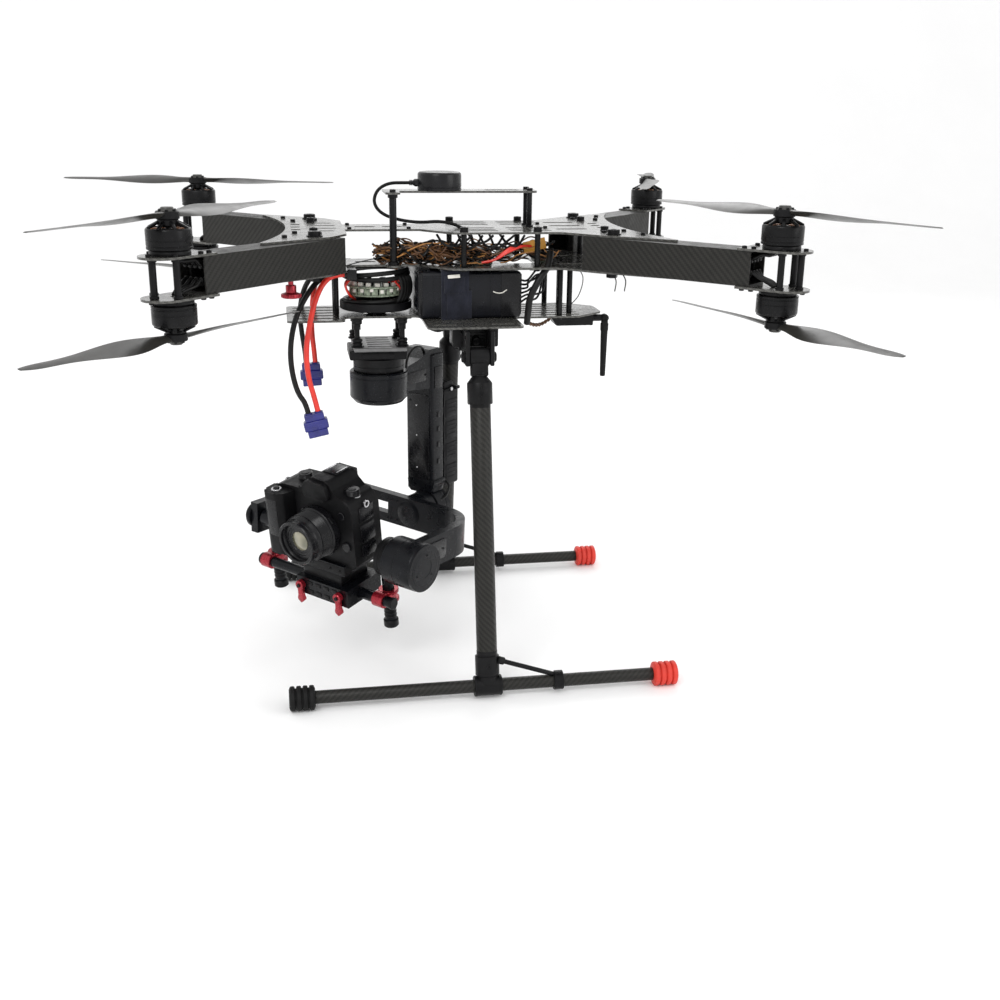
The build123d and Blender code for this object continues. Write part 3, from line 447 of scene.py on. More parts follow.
plain("black_metal", (0.006, 0.006, 0.0065), 0.4, metal=0.2, shine=0.2, bump=0.1, mottle=45)
plain("anodised_black", (0.006, 0.006, 0.0065), 0.3, metal=0.3, shine=0.24, bump=0.06, mottle=80)
plain("gimbal_black", (0.0035, 0.004, 0.0055), 0.3, metal=0.1, shine=0.22, bump=0.07, grain=1400, mottle=35)
plain("dark_plastic", (0.006, 0.006, 0.007), 0.5, shine=0.18, bump=0.22, grain=1600, mottle=40)
plain("smooth_plastic", (0.005, 0.005, 0.006), 0.26, shine=0.28, bump=0.04, mottle=50)
plain("camera_skin", (0.0035, 0.0035, 0.004), 0.46, shine=0.15, bump=0.6, grain=1300, depth=0.0003,
        mottle=60)
plain("black_rubber", (0.006, 0.006, 0.006), 0.6, shine=0.18, bump=0.3, grain=700, mottle=70)
plain("red_rubber", (0.62, 0.035, 0.02), 0.5, bump=0.3, grain=600, mottle=60, tone=0.12)
plain("red_anodised", (0.34, 0.015, 0.028), 0.28, metal=0.6, coat=0.2, bump=0.06, mottle=120, tone=0.15)
plain("red_silicone", (0.75, 0.03, 0.016), 0.42, coat=0.1, bump=0.1, mottle=60, tone=0.12)
plain("black_silicone", (0.006, 0.006, 0.006), 0.42, shine=0.24, bump=0.1, mottle=60)
plain("blue_plastic", (0.014, 0.016, 0.17), 0.35, coat=0.2, bump=0.12, mottle=90, tone=0.2)
plain("brown_wire", (0.11, 0.05, 0.02), 0.42, mottle=200, tone=0.3)
plain("orange_wire", (0.4, 0.18, 0.05), 0.42, mottle=200, tone=0.2)
plain("white_plastic", (0.7, 0.68, 0.62), 0.5, bump=0.15, mottle=80, tone=0.06)
plain("orange_card", (0.7, 0.34, 0.05), 0.55, bump=0.2, mottle=90, tone=0.12)
plain("circuit_green", (0.22, 0.26, 0.19), 0.4, bump=0.35, grain=420, mottle=260, tone=0.5)
plain("steel", (0.55, 0.55, 0.56), 0.28, metal=1.0, bump=0.08, mottle=150, tone=0.12)
plain("copper", (0.22, 0.09, 0.035), 0.4, metal=0.7, bump=0.2, mottle=400, tone=0.3)
plain("battery_skin", (0.004, 0.0045, 0.007), 0.3, shine=0.26, bump=0.35, grain=60, depth=0.0008, mottle=30)
plain("blade", (0.03, 0.029, 0.026), 0.34, shine=0.5, coat=0.0, bump=0.05, grain=300, mottle=25, tone=0.3,
        spread=0.06)
plain("scuffed_plate", (0.16, 0.16, 0.16), 0.4, metal=0.3, bump=0.15, mottle=70, tone=0.2)

weave("weave_plate", WORLD, light=(0.1, 0.098, 0.088), dark=(0.035, 0.034, 0.031), rough=0.24, coat=0.4,
        strength=0.15, shine=0.5)
for corner in CORNERS:
    weave("weave_" + corner, arm_place(corner), tow=2.0)
for side, name in ((-1, "front"), (1, "rear")):
    weave(f"weave_{name}_leg", leg_place(side), tow=1.8, around=LEG_R)
    weave(f"weave_{name}_skid", at(LEG_X, side * SKID_Y, SKID_Z) @ ALONG_X, tow=1.8, around=SKID_R)


def strap_fabric():
    """Hook-and-loop webbing: ribs across the band and a fuzzy face."""
    m = Nodes("strap_fabric")
    split = m.node("ShaderNodeSeparateXYZ")
    m.link(m.coords, split.inputs[0])
    ribs = m.math("SINE", m.mul(split.outputs[0], TAU / 0.0018))
    fuzz = m.noise(1500.0, 4, 0.8)
    m.colour(m.remap(m.noise(60.0), 0.3, 0.7, 0, 1), (0.006, 0.007, 0.013), (0.016, 0.018, 0.03))
    m.bump(m.add(m.mul(ribs, 0.5), fuzz), 0.7, 0.0005)
    m.gloss(m.noise(220.0), 0.2, 0.8, 0.7, 0.95)
    m.set(Sheen_Weight=0.15, Sheen_Roughness=0.5, Specular_IOR_Level=0.25)


def lens_glass():
    """Coated front element: glossy, its base colour a pale green-brown that is a painted reflection of the
    coating.
    """
    m = Nodes("lens_glass")
    # painted reflection: the pale green-brown base colour stands in for the light the coated glass reflects
    m.colour(m.remap(m.noise(45.0, 1), 0.35, 0.65, 0, 1), (0.1, 0.1, 0.06), (0.3, 0.28, 0.2))
    m.gloss(m.noise(30.0), 0.3, 0.7, 0.02, 0.07)
    m.set(Coat_Weight=1.0, Coat_Roughness=0.02, Metallic=0.2)


strap_fabric()
lens_glass()


# ---- camera, light and floor ----
def make_camera():
    """Camera at the place, turn and focal length of the reference view."""
    data = bpy.data.cameras.new("camera")
    data.lens = 43.65
    data.sensor_width = 36.0
    data.clip_start, data.clip_end = 0.05, 50
    obj = add_object("camera", data)
    yaw, pitch, roll = (math.radians(a) for a in (10.29, 18.39, 0.76))
    turn = Matrix.Rotation(-yaw, 4, "Z") @ Matrix.Rotation(math.pi / 2 - pitch, 4,
            "X") @ Matrix.Rotation(roll, 4, "Z")
    obj.matrix_world = Matrix.Translation((-0.2152, -1.5266, 0.6991)) @ turn
    bpy.context.scene.camera = obj


def area_light(name, place, target, size, power, tint=(1, 1, 1)):
    data = bpy.data.lights.new(name, "AREA")
    data.shape, data.size, data.energy, data.color = "DISK", size, power, tint
    obj = add_object(name, data)
    obj.location = place
    obj.rotation_euler = (Vector(target) - Vector(place)).to_track_quat("-Z", "Y").to_euler()


def make_studio():
    """White surroundings, three soft lights and a curved floor."""
    scene = bpy.context.scene
    scene.view_settings.view_transform = "Standard"
    world = bpy.data.worlds.new("studio")
    scene.world = world
    world.use_nodes = True
    world.node_tree.nodes["Background"].inputs[0].default_value = (1.0, 1.0, 1.0, 1)
    world.node_tree.nodes["Background"].inputs[1].default_value = 0.95
    area_light("key", (-1.2, -2.2, 2.4), (0, 0, 0.4), 1.6, 34)
    area_light("fill", (1.9, -1.4, 1.2), (0, 0, 0.35), 1.4, 10)
    area_light("back", (0.6, 2.2, 2.0), (0, 0, 0.4), 1.6, 14)
    bm = bmesh.new()
    line = [(-3.0, 0.0)] + [(3.0 + 1.2 * math.sin(a), 1.2 - 1.2 * math.cos(a)) for a
            in (math.radians(9 * k) for k in range(11))] + [(4.2, 4.0)]
    rows = [[bm.verts.new((x, y, z)) for y, z in line] for x in (-6.0, 6.0)]
    for k in range(len(line) - 1):
        bm.faces.new((rows[0][k], rows[1][k], rows[1][k + 1], rows[0][k + 1]))
    mesh = bpy.data.meshes.new("floor")
    bm.to_mesh(mesh)
    bm.free()
    mesh.polygons.foreach_set("use_smooth", [True] * len(mesh.polygons))
    floor = add_object("floor", mesh)
    plain("paper", (0.97, 0.97, 0.97), 0.8, tone=0.01, bump=0.03, mottle=3, spread=0.03)
    mesh.materials.append(MATS["paper"])


make_camera()
make_studio()


# ---- cords ----
def route_curve(name, points, r, mat, body):
    """Round cord along the smooth spline that has these points as its control points."""
    data = bpy.data.curves.new(name, "CURVE")
    data.dimensions = "3D"
    data.bevel_depth = r * MM
    data.bevel_resolution = 4
    data.use_fill_caps = True
    spline = data.splines.new("NURBS")
    spline.points.add(len(points) - 1)
    for p, co in zip(spline.points, points):
        p.co = (co[0] * MM, co[1] * MM, co[2] * MM, 1)
    spline.order_u = 3
    spline.use_endpoint_u = True
    spline.resolution_u = 8
    obj = add_object(name, data)
    data.materials.append(MATS[mat])
    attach(obj, body)
    return obj


PLUGS = {"front": at(-184, -67, 329, ry=-12), "rear": at(-182, 70, 362, ry=-3)}


def entry(name, side, above=0.0):
    """Where a lead goes into its plug, or a little above it."""
    return tuple(PLUGS[name] @ Vector((side * 6, 0, above)))


LEADS = {
    "red_lead_front": [(-138, -46, 494), (-154, -46, 494), (-168, -55, 484), (-178, -65, 464),
            (-184, -72, 441), (-189, -73, 417), (-190, -71, 393), (-187.5, -69, 369), entry("front", 1, 20),
            entry("front", 1)],
    "black_lead_front": [(-138, -32, 494), (-154, -32, 494), (-171, -42, 488), (-187, -56, 471),
            (-200, -69, 449), (-207, -75, 424), (-209, -74, 399), (-206.5, -71, 374), (-201, -68, 353),
            entry("front", -1, 14), entry("front", -1)],
    "red_lead_rear": [(-138, 46, 494), (-153, 46, 494), (-166, 56, 484), (-174, 67, 464), (-177, 73, 441),
            (-179, 74, 417), (-178.5, 72, 395), entry("rear", 1, 14), entry("rear", 1)],
    "black_lead_rear": [(-138, 32, 494), (-154, 32, 494), (-170, 44, 487), (-183, 58, 471),
            (-191, 70, 449), (-194, 75, 425), (-192, 73, 401), entry("rear", -1, 16), entry("rear", -1)],
}
LEAD_R, CABLE_R = 3.3, 2.0              # radii


def make_plug(name):
    """Two-pin plug: wire shroud, grip with ribs and a keyed nose with two sockets."""
    place = PLUGS[name]
    plug = Piece(name + "_plug", "airframe", "blue_plastic", replaces=[name + "_connector"])
    plug.box(place @ at(z=-4.6), (24, 12.6, 9.2), 1.4, 3)
    plug.box(place @ at(z=-15), (29.6, 14.6, 12), 1.6, 3)
    plug.box(place @ at(z=-25.4), (24.6, 11.6, 9), 1.2, 3)
    for k in range(4):
        plug.box(place @ at(z=-11.5 - 2.4 * k), (30, 15, 0.9), 0.4)
    for side in (-1, 1):
        plug.ring(place @ at(side * 6, 0, 0.6), [(3.6, -1.4), (5.0, -1.4), (5.0, 0), (4.4, 0.6),
                (3.6, 0.6)], 20)
    return plug.done()


plugs = {name: make_plug(name) for name in PLUGS}
for name, points in LEADS.items():
    colour = "red_silicone" if name.startswith("red") else "black_silicone"
    lead = route_curve(name + "_cord", points, LEAD_R, colour, "airframe")
    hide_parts(name)

GPS_CABLE = [(-46, 0, 598), (-62, 0, 598), (-82, -3, 598), (-97, -9, 590), (-102, -15, 575),
        (-92, -19, 562), (-70, -21, 555), (-45, -20, 552), (-22, -21, 554), (-2, -22, 550),
        (14, -21.5, 541), (20, -21, 531), (20, -21, 519)]
gps_cable = route_curve("gps_cable_cord", GPS_CABLE, CABLE_R, "black_rubber", "airframe")
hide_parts("gps_cable")


# ---- motors, hubs and mounts ----
MOUNT_POSTS = [(24, 0), (9, 18), (9, -18)]


def make_motor(corner, level):
    """Turning can with a ring of spokes, its hub, the propeller's clamp and the fixed core inside."""
    place, name = rotor_place(corner, level), f"{corner}_{level}"
    can = Piece(name + "_can", name + "_rotor", "anodised_black", "motor_black", [name + "_bell"])
    can.ring(place, [(20.4, 5.5), (22.5, 5.5), (23, 6), (23, 8), (22.6, 8.4), (22.6, 9.2), (23, 9.6),
            (23, 14.5), (22.8, 14.7), (23, 14.9), (23, 24.4), (22.7, 25.4), (21.8, 26.4), (20.4, 26.6)], 56)
    for k in range(8):
        can.box(place @ at(rz=22.5 + 45 * k) @ at(14.6, 0, 29.7, ry=27), (15.5, 3.6, 3.0), 0.9)
    can.turned(place, [(8.8, 27.5), (10.4, 29), (10.4, 34.2), (9.8, 35)])
    can.rod((0, 0, 1), (0, 0, 28), 3, place=place)
    clamp = Piece(name + "_prop_clamp", name + "_rotor", "black_metal", "black_steel")
    clamp.turned(place, [(11.4, 34.9), (11.9, 35.5), (11.9, 41.8), (11.2, 42.7), (4.6, 42.9), (4.2, 43.2),
            (4.2, 45.6), (3.6, 46.2)], 44)
    for k in range(6):
        clamp.screw(place @ at(rz=60 * k + 30) @ at(8, 0, 42.5), 1.7, 2.1, 14)
    core = Piece(name + "_core", corner + "_arm_body", "black_metal", "motor_black")
    core.rev(place, [(0, 0), (20.6, 0), (20.9, 0.5), (20.9, 3.6), (20.2, 4.9), (19.3, 5.2), (19.3, 6),
            (19.2, 6)], 48)
    core.ring(place, [(3.6, 4), (19.3, 4), (19.3, 24.2), (18.6, 24.6), (7, 24.6), (6, 25), (3.6, 25)], 48)
    winding = Piece(name + "_windings", corner + "_arm_body", "copper", "brown_wire")
    for k in range(12):
        winding.box(place @ at(rz=30 * k) @ at(14.2, 0, 25), (8.6, 3.6, 1.6), 0.7)


def make_mount(corner):
    """Spacers, bolts and cable bundle between the two plates at the end of an arm."""
    place = arm_place(corner) @ at(REACH, 0, 0)
    low, high = ARM_LOW - PLATE, ARM_HIGH + PLATE
    bolts = Piece(corner + "_mount_bolts", corner + "_arm_body", "black_metal", "black_steel")
    for x, y in MOUNT_POSTS:
        bolts.rod((x, y, ARM_LOW), (x, y, ARM_HIGH), 3.7, place=place)
        for z in (ARM_LOW + 0.2, ARM_HIGH - 2.8):
            bolts.turned(place @ at(x, y, z), [(4.4, 0), (4.7, 0.4), (4.7, 2.2), (4.4, 2.6)], 24)
        bolts.screw(place @ at(x * 1.18, y * 1.05, high), 2.6, 2.6)
        bolts.screw(place @ at(x * 1.18, y * 1.05, low, rx=180), 2.6, 2.6)
    for x, y in [(-36, 17), (-36, -17), (-25, 17), (-25, -17)]:
        bolts.screw(place @ at(x, y, high), 2.8, 2.4)
        bolts.screw(place @ at(x, y, low, rx=180), 2.8, 2.4)
    wires = Piece(corner + "_motor_wires", corner + "_arm_body", "black_silicone", "black_rubber")
    for k, y in enumerate((-9, -3, 3, 9)):
        for end, z in ((high - 3.2, 530), (low + 3.2, 516)):
            wires.wire([(-46, y * 1.3, z), (-30, y * 1.2, z + 2), (-18 - 2 * k, y, (z + end) / 2 + 2),
                    (-10, y * 0.7, (2 * end + z) / 3), (-4, y * 0.5, end)], 5, 1.9, 9)
            wires.rod((-40, y * 1.3, z), (-28, y * 1.25, z + 1.6), 2.8)
    for v in wires.bm.verts:
        v.co = place @ v.co
    tie = Piece(corner + "_motor_tie", corner + "_arm_body", "black_rubber")
    tie.ring(place @ at(-38, 0, 523, ry=90), [(11, -2), (13.6, -2), (14, 0), (13.6, 2), (11, 2)], 24)


for corner in CORNERS:
    make_mount(corner)
    for level in ("top", "bottom"):
        make_motor(corner, level)


# ---- plates, posts and folding bolts ----
STACK_POSTS = [(sx * 176, sy * 62) for sx in (-1, 1) for sy in (-1, 1)] + [(2, 66), (2, -66), (92, 66),
        (92, -66)]
DECK_POSTS = [(-150, -15), (-150, 15), (126, -46), (126, 46), (142, -30), (142, 30)]


def make_posts():
    """Spacers between the plates, folding bolts and the plates' screws."""
    posts = Piece("frame_spacers", "airframe", "anodised_black", "black_steel", ["frame_posts"])
    for x, y in STACK_POSTS:
        posts.rod((x, y, MID_Z), (x, y, ARM_HIGH + 0.3), 3.5, 0.6)
        posts.turned(at(x, y, TOP_Z), [(5.4, 0), (5.4, 0.7), (5, 0.8), (5, 5), (4.5, 5.5), (2.6, 5.5),
                (2.6, 2.8)], 28)
        posts.screw(at(x, y, MID_Z - PLATE, rx=180), 3.6, 2.6)
    for x, y in DECK_POSTS:
        posts.rod((x, y, DECK_TOP), (x, y, MID_Z - PLATE), 3.5, 0.6)
        posts.screw(at(x, y, DECK_Z, rx=180), 3.2, 2.2)
    for sx, sy in CORNERS.values():
        x, y = sx * PIVOT_X, sy * PIVOT_Y
        posts.rod((x, y, MID_Z - PLATE), (x, y, TOP_Z), 4)
        posts.turned(at(x, y, TOP_Z), [(9.4, 0), (9.4, 1.1), (7.5, 1.3), (7.5, 5.2), (6.8, 6), (3.6, 6),
                (3.6, 3)], 32)
        posts.turned(at(x, y, MID_Z - PLATE, rx=180), [(9, 0), (9, 1), (7, 1.1), (7, 5.4), (6.4, 6)], 6)
        for dx, dy in ((22, -34), (-6, -22), (34, 8)):
            px, py = sx * (PIVOT_X + dx), sy * (PIVOT_Y + dy)
            posts.screw(at(px, py, TOP_Z), 3.1, 2.6)
            posts.screw(at(px, py, MID_Z - PLATE, rx=180), 3.1, 2.2)
    for x in (-132, -60, 110):
        for y in (-24, 24):
            posts.screw(at(x, y, TOP_Z), 2.6, 2.2)
    for x in (-60, -30, 52, 62):
        for y in (-24, 24):
            posts.screw(at(x, y, DECK_Z, rx=180), 2.6, 2.0)


make_posts()


# ---- antenna ----
def make_gps():
    """Antenna puck and the posts under its plate."""
    mast, tail, low, high = (-80, -36), 92, 587, 589.5      # posts, and faces of their plate
    x, y, z = -19, 0, high
    puck = Piece("gps_shell", "airframe", "smooth_plastic", "black_plastic", ["gps_puck"])
    puck.rev(at(x, y, z), [(0, 0), (26.4, 0), (27, 0.6), (27, 3.2), (26.6, 3.5), (26.6, 4.1), (27, 4.4),
            (26.8, 18.6), (26.2, 20.3), (24.8, 21.4), (22.6, 21.8), (0, 22)], 72)
    puck.box(at(x - 27.5, y, z + 8.6), (9, 9, 9), 2.2, 3)
    for k in range(4):
        puck.collar(at(x - 30 - 2.1 * k, y, z + 8.6) @ ALONG_X, 1.8, 3.3, -0.7, 0.7, 0, 18)
    posts = Piece("gps_posts", "airframe", "anodised_black", "black_steel")
    posts.rod((*mast, MID_Z), (*mast, low), 4.4, 0.8)
    posts.ring(at(*mast, MID_Z), [(4.3, 0), (6.8, 0), (6.8, 3), (6, 4), (4.3, 4)], 28)
    posts.collar(at(*mast, low - 4), 4.3, 6, 0, 4, 0, 28)
    posts.screw(at(*mast, high), 3.7, 3.1)
    for side in (-12, 12):
        posts.rod((tail, side, TOP_Z), (tail, side, low), 3.2, 0.6)
        posts.collar(at(tail, side, TOP_Z), 3.1, 5, 0, 2.4, 0, 24)
        posts.screw(at(tail, side, high), 3.7, 3.1)


make_gps()


# ---- battery and strap ----
def make_battery():
    """Battery with its seams, end caps and tag, and the strap round it."""
    pack = Piece("battery_case", "airframe", "battery_skin", "battery_wrap", ["battery_pack"])
    pack.box(at(11, 0, 468.4), (127.6, 119.4, 56.8), 4.5, 4)
    for y in (-59.8, 59.8):
        pack.boxes(((36, y, 468.5), (0.8, 0.7, 52), 0.3), ((-34, y, 468.5), (0.8, 0.7, 52), 0.3),
                ((11, y, 491), (122, 0.7, 0.8), 0.3))
    for x in (-53, 74.8):
        pack.box(at(x, 0, 468.5), (0.6, 100, 40), 0.25)
    ends = Piece("battery_end_caps", "airframe", "smooth_plastic", "black_plastic")
    ends.boxes(((74.3, 0, 468.5), (2.4, 112, 50), 1.1, 3), ((61, -59.7, 468.5), (24, 1.6, 53), 0.7),
            ((-50.5, -59.7, 468.5), (5, 1.6, 53), 0.7))
    handle = Piece("battery_tag", "airframe", "white_plastic")
    handle.wire([(39, -60.6, 473), (44, -61.6, 471.4), (50, -61.8, 471.6), (56, -60.6, 475)], 6, 0.7)
    strap = Piece("strap_band", "airframe", "strap_fabric", "strap_webbing", ["battery_strap"])
    x0, x1 = -25, 9

    def loop(w, low, high, r, x):
        corners = [(w, low), (w, high), (-w, high), (-w, low)]
        return [(x, y, z) for y, z in rounded(corners, r, 4)]
    rings = [loop(62.3, 435.3, 499.9, 4.5, x0), loop(62.3, 435.3, 499.9, 4.5, x1),
            loop(60.3, 437.3, 497.9, 2.5, x1), loop(60.3, 437.3, 497.9, 2.5, x0)]
    strap.loft(WORLD, rings + [rings[0]], cap=False)
    strap.box(at(-3, -63.0, 458, rx=1.5), (31, 1.6, 34), 0.7, 2)
    strap.box(at(-9, -63.4, 482, rx=-2), (26, 1.7, 21), 0.7, 2)
    tab = Piece("strap_tab", "airframe", "white_plastic")
    tab.box(at(-10, -64.9, 492.5, rx=-14, ry=-4), (15, 1.0, 4.2), 0.4)


make_battery()


# ---- electronics ----
def on_dish(r, degrees, z):
    """Place at a distance and an angle from the dish's axis, X outward."""
    a = math.radians(degrees)
    return at(DISH_X + r * math.cos(a), r * math.sin(a), z, rz=math.degrees(a))


def make_electronics():
    """Cable dish with its coil, the round and square boards and what stands on them."""
    dish = Piece("cable_dish", "airframe", "dark_plastic", "black_plastic", ["cable_tray"])
    dish.turned(at(DISH_X, 0, 0), [(14, 440), (14, 441.4), (12, 442), (12, 445.6), (43, 446), (45, 447.2),
            (45, 455), (44.4, 456), (43, 456), (42.6, 455), (42.6, 448.4), (6, 448), (6, 473.8)], 64)
    coil = Piece("coiled_cable", "airframe", "black_silicone", "black_rubber")
    for low, rise, reach, wave in ((450.8, 4.6, 38.6, 0.6), (486.5, 4.0, 40.5, 2.2)):
        turns = []
        for k in range(76):
            a = TAU * k / 36 + reach
            r = reach - 1.4 * math.sin(a * 0.37) - 0.8 * (k / 36)
            turns.append((DISH_X + r * math.cos(a), r * math.sin(a),
                    low + rise * k / 36 + wave * math.sin(a * 1.3)))
        coil.tube(turns, 2.9, 10)
    for k in range(5):
        a = math.radians(20 + 8 * k)
        x, y = DISH_X + 40 * math.cos(a), -40 * math.sin(a)
        coil.wire([(x - 2, y + 3, 491), (x + 4, y - 2, 484), (x + 5, y - 2, 470), (x - 1, y + 1, 456)], 6,
                2.2, 9)
    board = Piece("power_board", "airframe", "circuit_green", replaces=["circuit_boards"])
    board.turned(at(DISH_X, 0, 474), [(35.6, 0), (36, 0.4), (36, 1.6), (35.6, 2)], 56)
    board.collar(at(DISH_X, 0, 464), 6, 35.6, 0, 1.8, 0.4, 56)
    for k in range(10):
        board.box(on_dish(33, 200 + 16 * k, 469.6), (1.2, 7.4, 7.6), 0.3)
    board.boxes(((24, 0, 504.2), (40, 50, 2.0), 0.4), ((112, 4, 504.2), (18, 46, 2.0), 0.4))
    chips = Piece("board_parts", "airframe", "smooth_plastic", "black_plastic")
    draw = random.Random(7)
    for k in range(16):
        a, r = TAU * k / 16 + draw.uniform(-0.1, 0.1), draw.uniform(17, 30)
        size = (draw.uniform(4, 8), draw.uniform(4, 7), draw.uniform(3, 7))
        chips.box(on_dish(r, math.degrees(a), 476 + size[2] / 2), size, 0.5)
    for k in range(14):
        chips.box(on_dish(29, 360 * k / 14, 470.6), (7, 5, 5.6), 0.6)
    chips.boxes(((24, 0, 512.5), (39, 49, 15), 2.2, 3), ((24, -25.4, 509), (30, 1.4, 5), 0.4),
            ((112, 4, 509.6), (17.6, 45.6, 9.6), 1.4, 3), ((-132, 0, 494), (12, 112, 13), 1.4, 3))
    for y in (-46, -32, 32, 46):
        chips.collar(at(-138.4, y, 494) @ ALONG_X, 3.4, 5.2, -2, 1, 0, 20)
    light = Piece("board_connectors", "airframe", "white_plastic")
    for k in range(9):
        light.box(on_dish(31, 190 + 20 * k, 478.4), (4, 6, 4.6), 0.5)
    for k in range(6):
        light.box(on_dish(34.4, 216 + 21 * k, 470.4 + (k % 3)), (2, 4.2, 4.4), 0.4)
    for y in (-14, 0, 14):
        light.box(at(2.6, y, 514), (2.0, 9, 4), 0.4)
    light.box(at(56, -40, 517, rz=6), (22, 1.0, 7), 0.3)
    card = Piece("orange_flag", "airframe", "orange_card", "orange_wire")
    card.box(at(92, -48, 527, rx=12, ry=-14), (28, 1.2, 14), 0.4)


make_electronics()


def wander(draw, start, end, spread, count=5):
    """Loose line from start to end that strays sideways."""
    points = [start]
    for k in range(1, count):
        t = k / count
        points.append(tuple(a + (b - a) * t + draw.uniform(-s, s) for a, b, s in zip(start, end, spread)))
    return smooth_line(points + [end], 5)


def make_wiring():
    """Loose wires between the plates, beside the battery and under the tail."""
    draw = random.Random(21)
    for name, mat, slot, count, r, front in (("brown_nest", "brown_wire", "brown_wire", 26, 0.9, -28),
            ("orange_nest", "orange_wire", "orange_wire", 10, 0.8, -30),
            ("black_nest", "black_silicone", "black_rubber", 24, 1.3, -25)):
        nest = Piece(name, "airframe", mat, slot)
        for k in range(count):
            start = (draw.uniform(-104, -84), draw.uniform(front, front + 32), draw.uniform(506, 526))
            end = (draw.uniform(-14, 40), draw.uniform(front - 28, front - 8), draw.uniform(507, 526))
            nest.tube(wander(draw, start, end, (5, 12, 10), 9), r, 7)
        for k in range(count // 3):
            start = (draw.uniform(30, 50), draw.uniform(-56, -30), draw.uniform(506, 530))
            end = (draw.uniform(96, 130), draw.uniform(-50, -20), draw.uniform(506, 532))
            nest.tube(wander(draw, start, end, (5, 7, 7), 6), r, 7)
        if name == "black_nest":
            for k in range(7):
                x = -14 + 13 * k
                nest.wire([(x - 14, -44 + k, 540), (x - 8, -56, 531 - k % 3 * 3),
                        (x + 4, -60, 528 + k % 2 * 5), (x + 15, -50, 539)], 6, 1.5)
    red = Piece("red_wires", "airframe", "red_silicone")
    for k in range(3):
        red.wire([(26 + 3 * k, -52, 507), (42, -56 + k, 511), (60, -57, 521 + 2 * k), (78, -54, 527),
                (90, -46, 524 + k)], 6, 1.4)
    for k in range(6):
        a = math.radians(-70 + 16 * k)
        x, y = DISH_X + 26 * math.cos(a), 26 * math.sin(a)
        red.wire([(x, y, 477), (x + 9, y - 3, 484), (x + 15, y - 2, 480 - k), (-62, y * 0.8, 462 + 2 * k)],
                6, 1.3)
    for k in range(5):
        red.wire([(-128, -20 + 4 * k, 488), (-138, -26 + 4 * k, 478), (-134, -22 + 4 * k, 466),
                (-126, -12 + 4 * k, 458)], 6, 1.4)
    loom = Piece("tail_loom", "airframe", "black_silicone", "black_rubber")
    loom.wire([(112, -50, 519), (106, -62, 503), (94, -68, 487), (84, -68, 466), (82, -66, 448),
            (82, -60, 433)], 8, 4.2, 12)
    for k in range(6):
        z = 458 + 5.4 * k
        reach = 6 * math.sin(k * 1.7)
        loom.wire([(75, -52 + k, z), (82, -58, z + 6 - k), (88 + reach, -60, z + 4 + 2 * k),
                (97 + reach, -56, z + 10 + k), (104, -50, 497)], 6, 1.3)
    loom.wire([(-44, -30, 437), (-40, -46, 428), (-26, -52, 424), (-14, -48, 432)], 6, 1.4)
    thin = Piece("aerial_wires", "airframe", "black_silicone", "black_rubber")
    thin.wire([(-150, -54, 501), (-132, -60, 508), (-108, -56, 513), (-84, -44, 517)], 7, 0.6, 7)
    thin.wire([(150, -24, 500), (160, -26, 484), (156, -24, 462), (146, -20, 448), (142, -18, 441)], 7, 0.6,
            7)
    for k in range(2):
        thin.wire([(190 - 12 * k, -100, 499), (194 - 12 * k, -103, 490), (192 - 12 * k, -106, 478)], 6, 0.7,
                7)
    twist = Piece("video_leads", "airframe", "brown_wire")
    for phase in (0, math.pi):
        line = []
        for k in range(40):
            t = k / 39
            a = TAU * t * 4 + phase
            line.append((84 + 36 * t, -44 + 22 * t + 1.5 * math.cos(a),
                    432 - 6 * math.sin(math.pi * t) + 1.5 * math.sin(a)))
        twist.tube(line, 1.2, 8)


make_wiring()


def make_video():
    """Video box with its hinged whip, and the red screw that clamps the front left arm."""
    box = Piece("video_case", "airframe", "black_metal", replaces=["video_transmitter"])
    box.prism(XZY, rounded([(118, 437.4), (128, 422.5), (176, 422.5), (176, 437.4)], 1.6, 3), -24, 6, 0.7)
    for k in range(6):
        box.box(at(136 + 6 * k, -9, 422.4), (2.2, 24, 1.0), 0.4)
    for x in (124, 170):
        for y in (-20, 2):
            box.screw(at(x + 4, y, 423 if x > 130 else 428, rx=180), 1.6, 1.2, 12)
    box.turned(at(176, -9, 429.5) @ ALONG_X, [(5.2, -0.5), (5.2, 3), (4.5, 3.4), (4.5, 12.5)], 6)
    box.box(at(193, -9, 429.5), (10, 2.9, 8.6), 1.2)
    box.rod((195, -13.5, 429.5), (195, -4.5, 429.5), 1.55)
    whip = Piece("whip_aerial", "whip", "black_rubber", replaces=["antenna_whip"])
    for y in (-12.4, -5.6):
        whip.rod((195, y - 1.45, 429.5), (195, y + 1.45, 429.5), 4.6, 0.8, 24)
        whip.box(at(195, y, 423.6), (7, 2.9, 9), 0.8)
    whip.rev(at(195, -9, 0), [(0, 422.6), (4.6, 422.6), (5.2, 421.8), (5.2, 413.5), (4.8, 412.5),
            (4.6, 412), (3.5, 354), (3, 352.6), (0, 352.5)], 28)
    knob = Piece("arm_clamp_screw", "lock_screw", "red_anodised", replaces=["arm_lock_knob"])
    place = arm_place("front_left") @ at(42, 0, ARM_LOW - 0.4, rx=180)
    knob.turned(place, [(3, 0), (3, 7.6), (5.6, 8), (6, 8.6), (6, 15.6), (8, 16.6), (10.6, 17.4), (11, 18),
            (11, 21.2), (10.4, 22), (4, 22), (3.4, 21)], 48)
    for k in range(24):
        knob.rod((10.7, 0, 17.8), (10.7, 0, 21.4), 0.8, 0.3, 8, place @ at(rz=15 * k))


make_video()


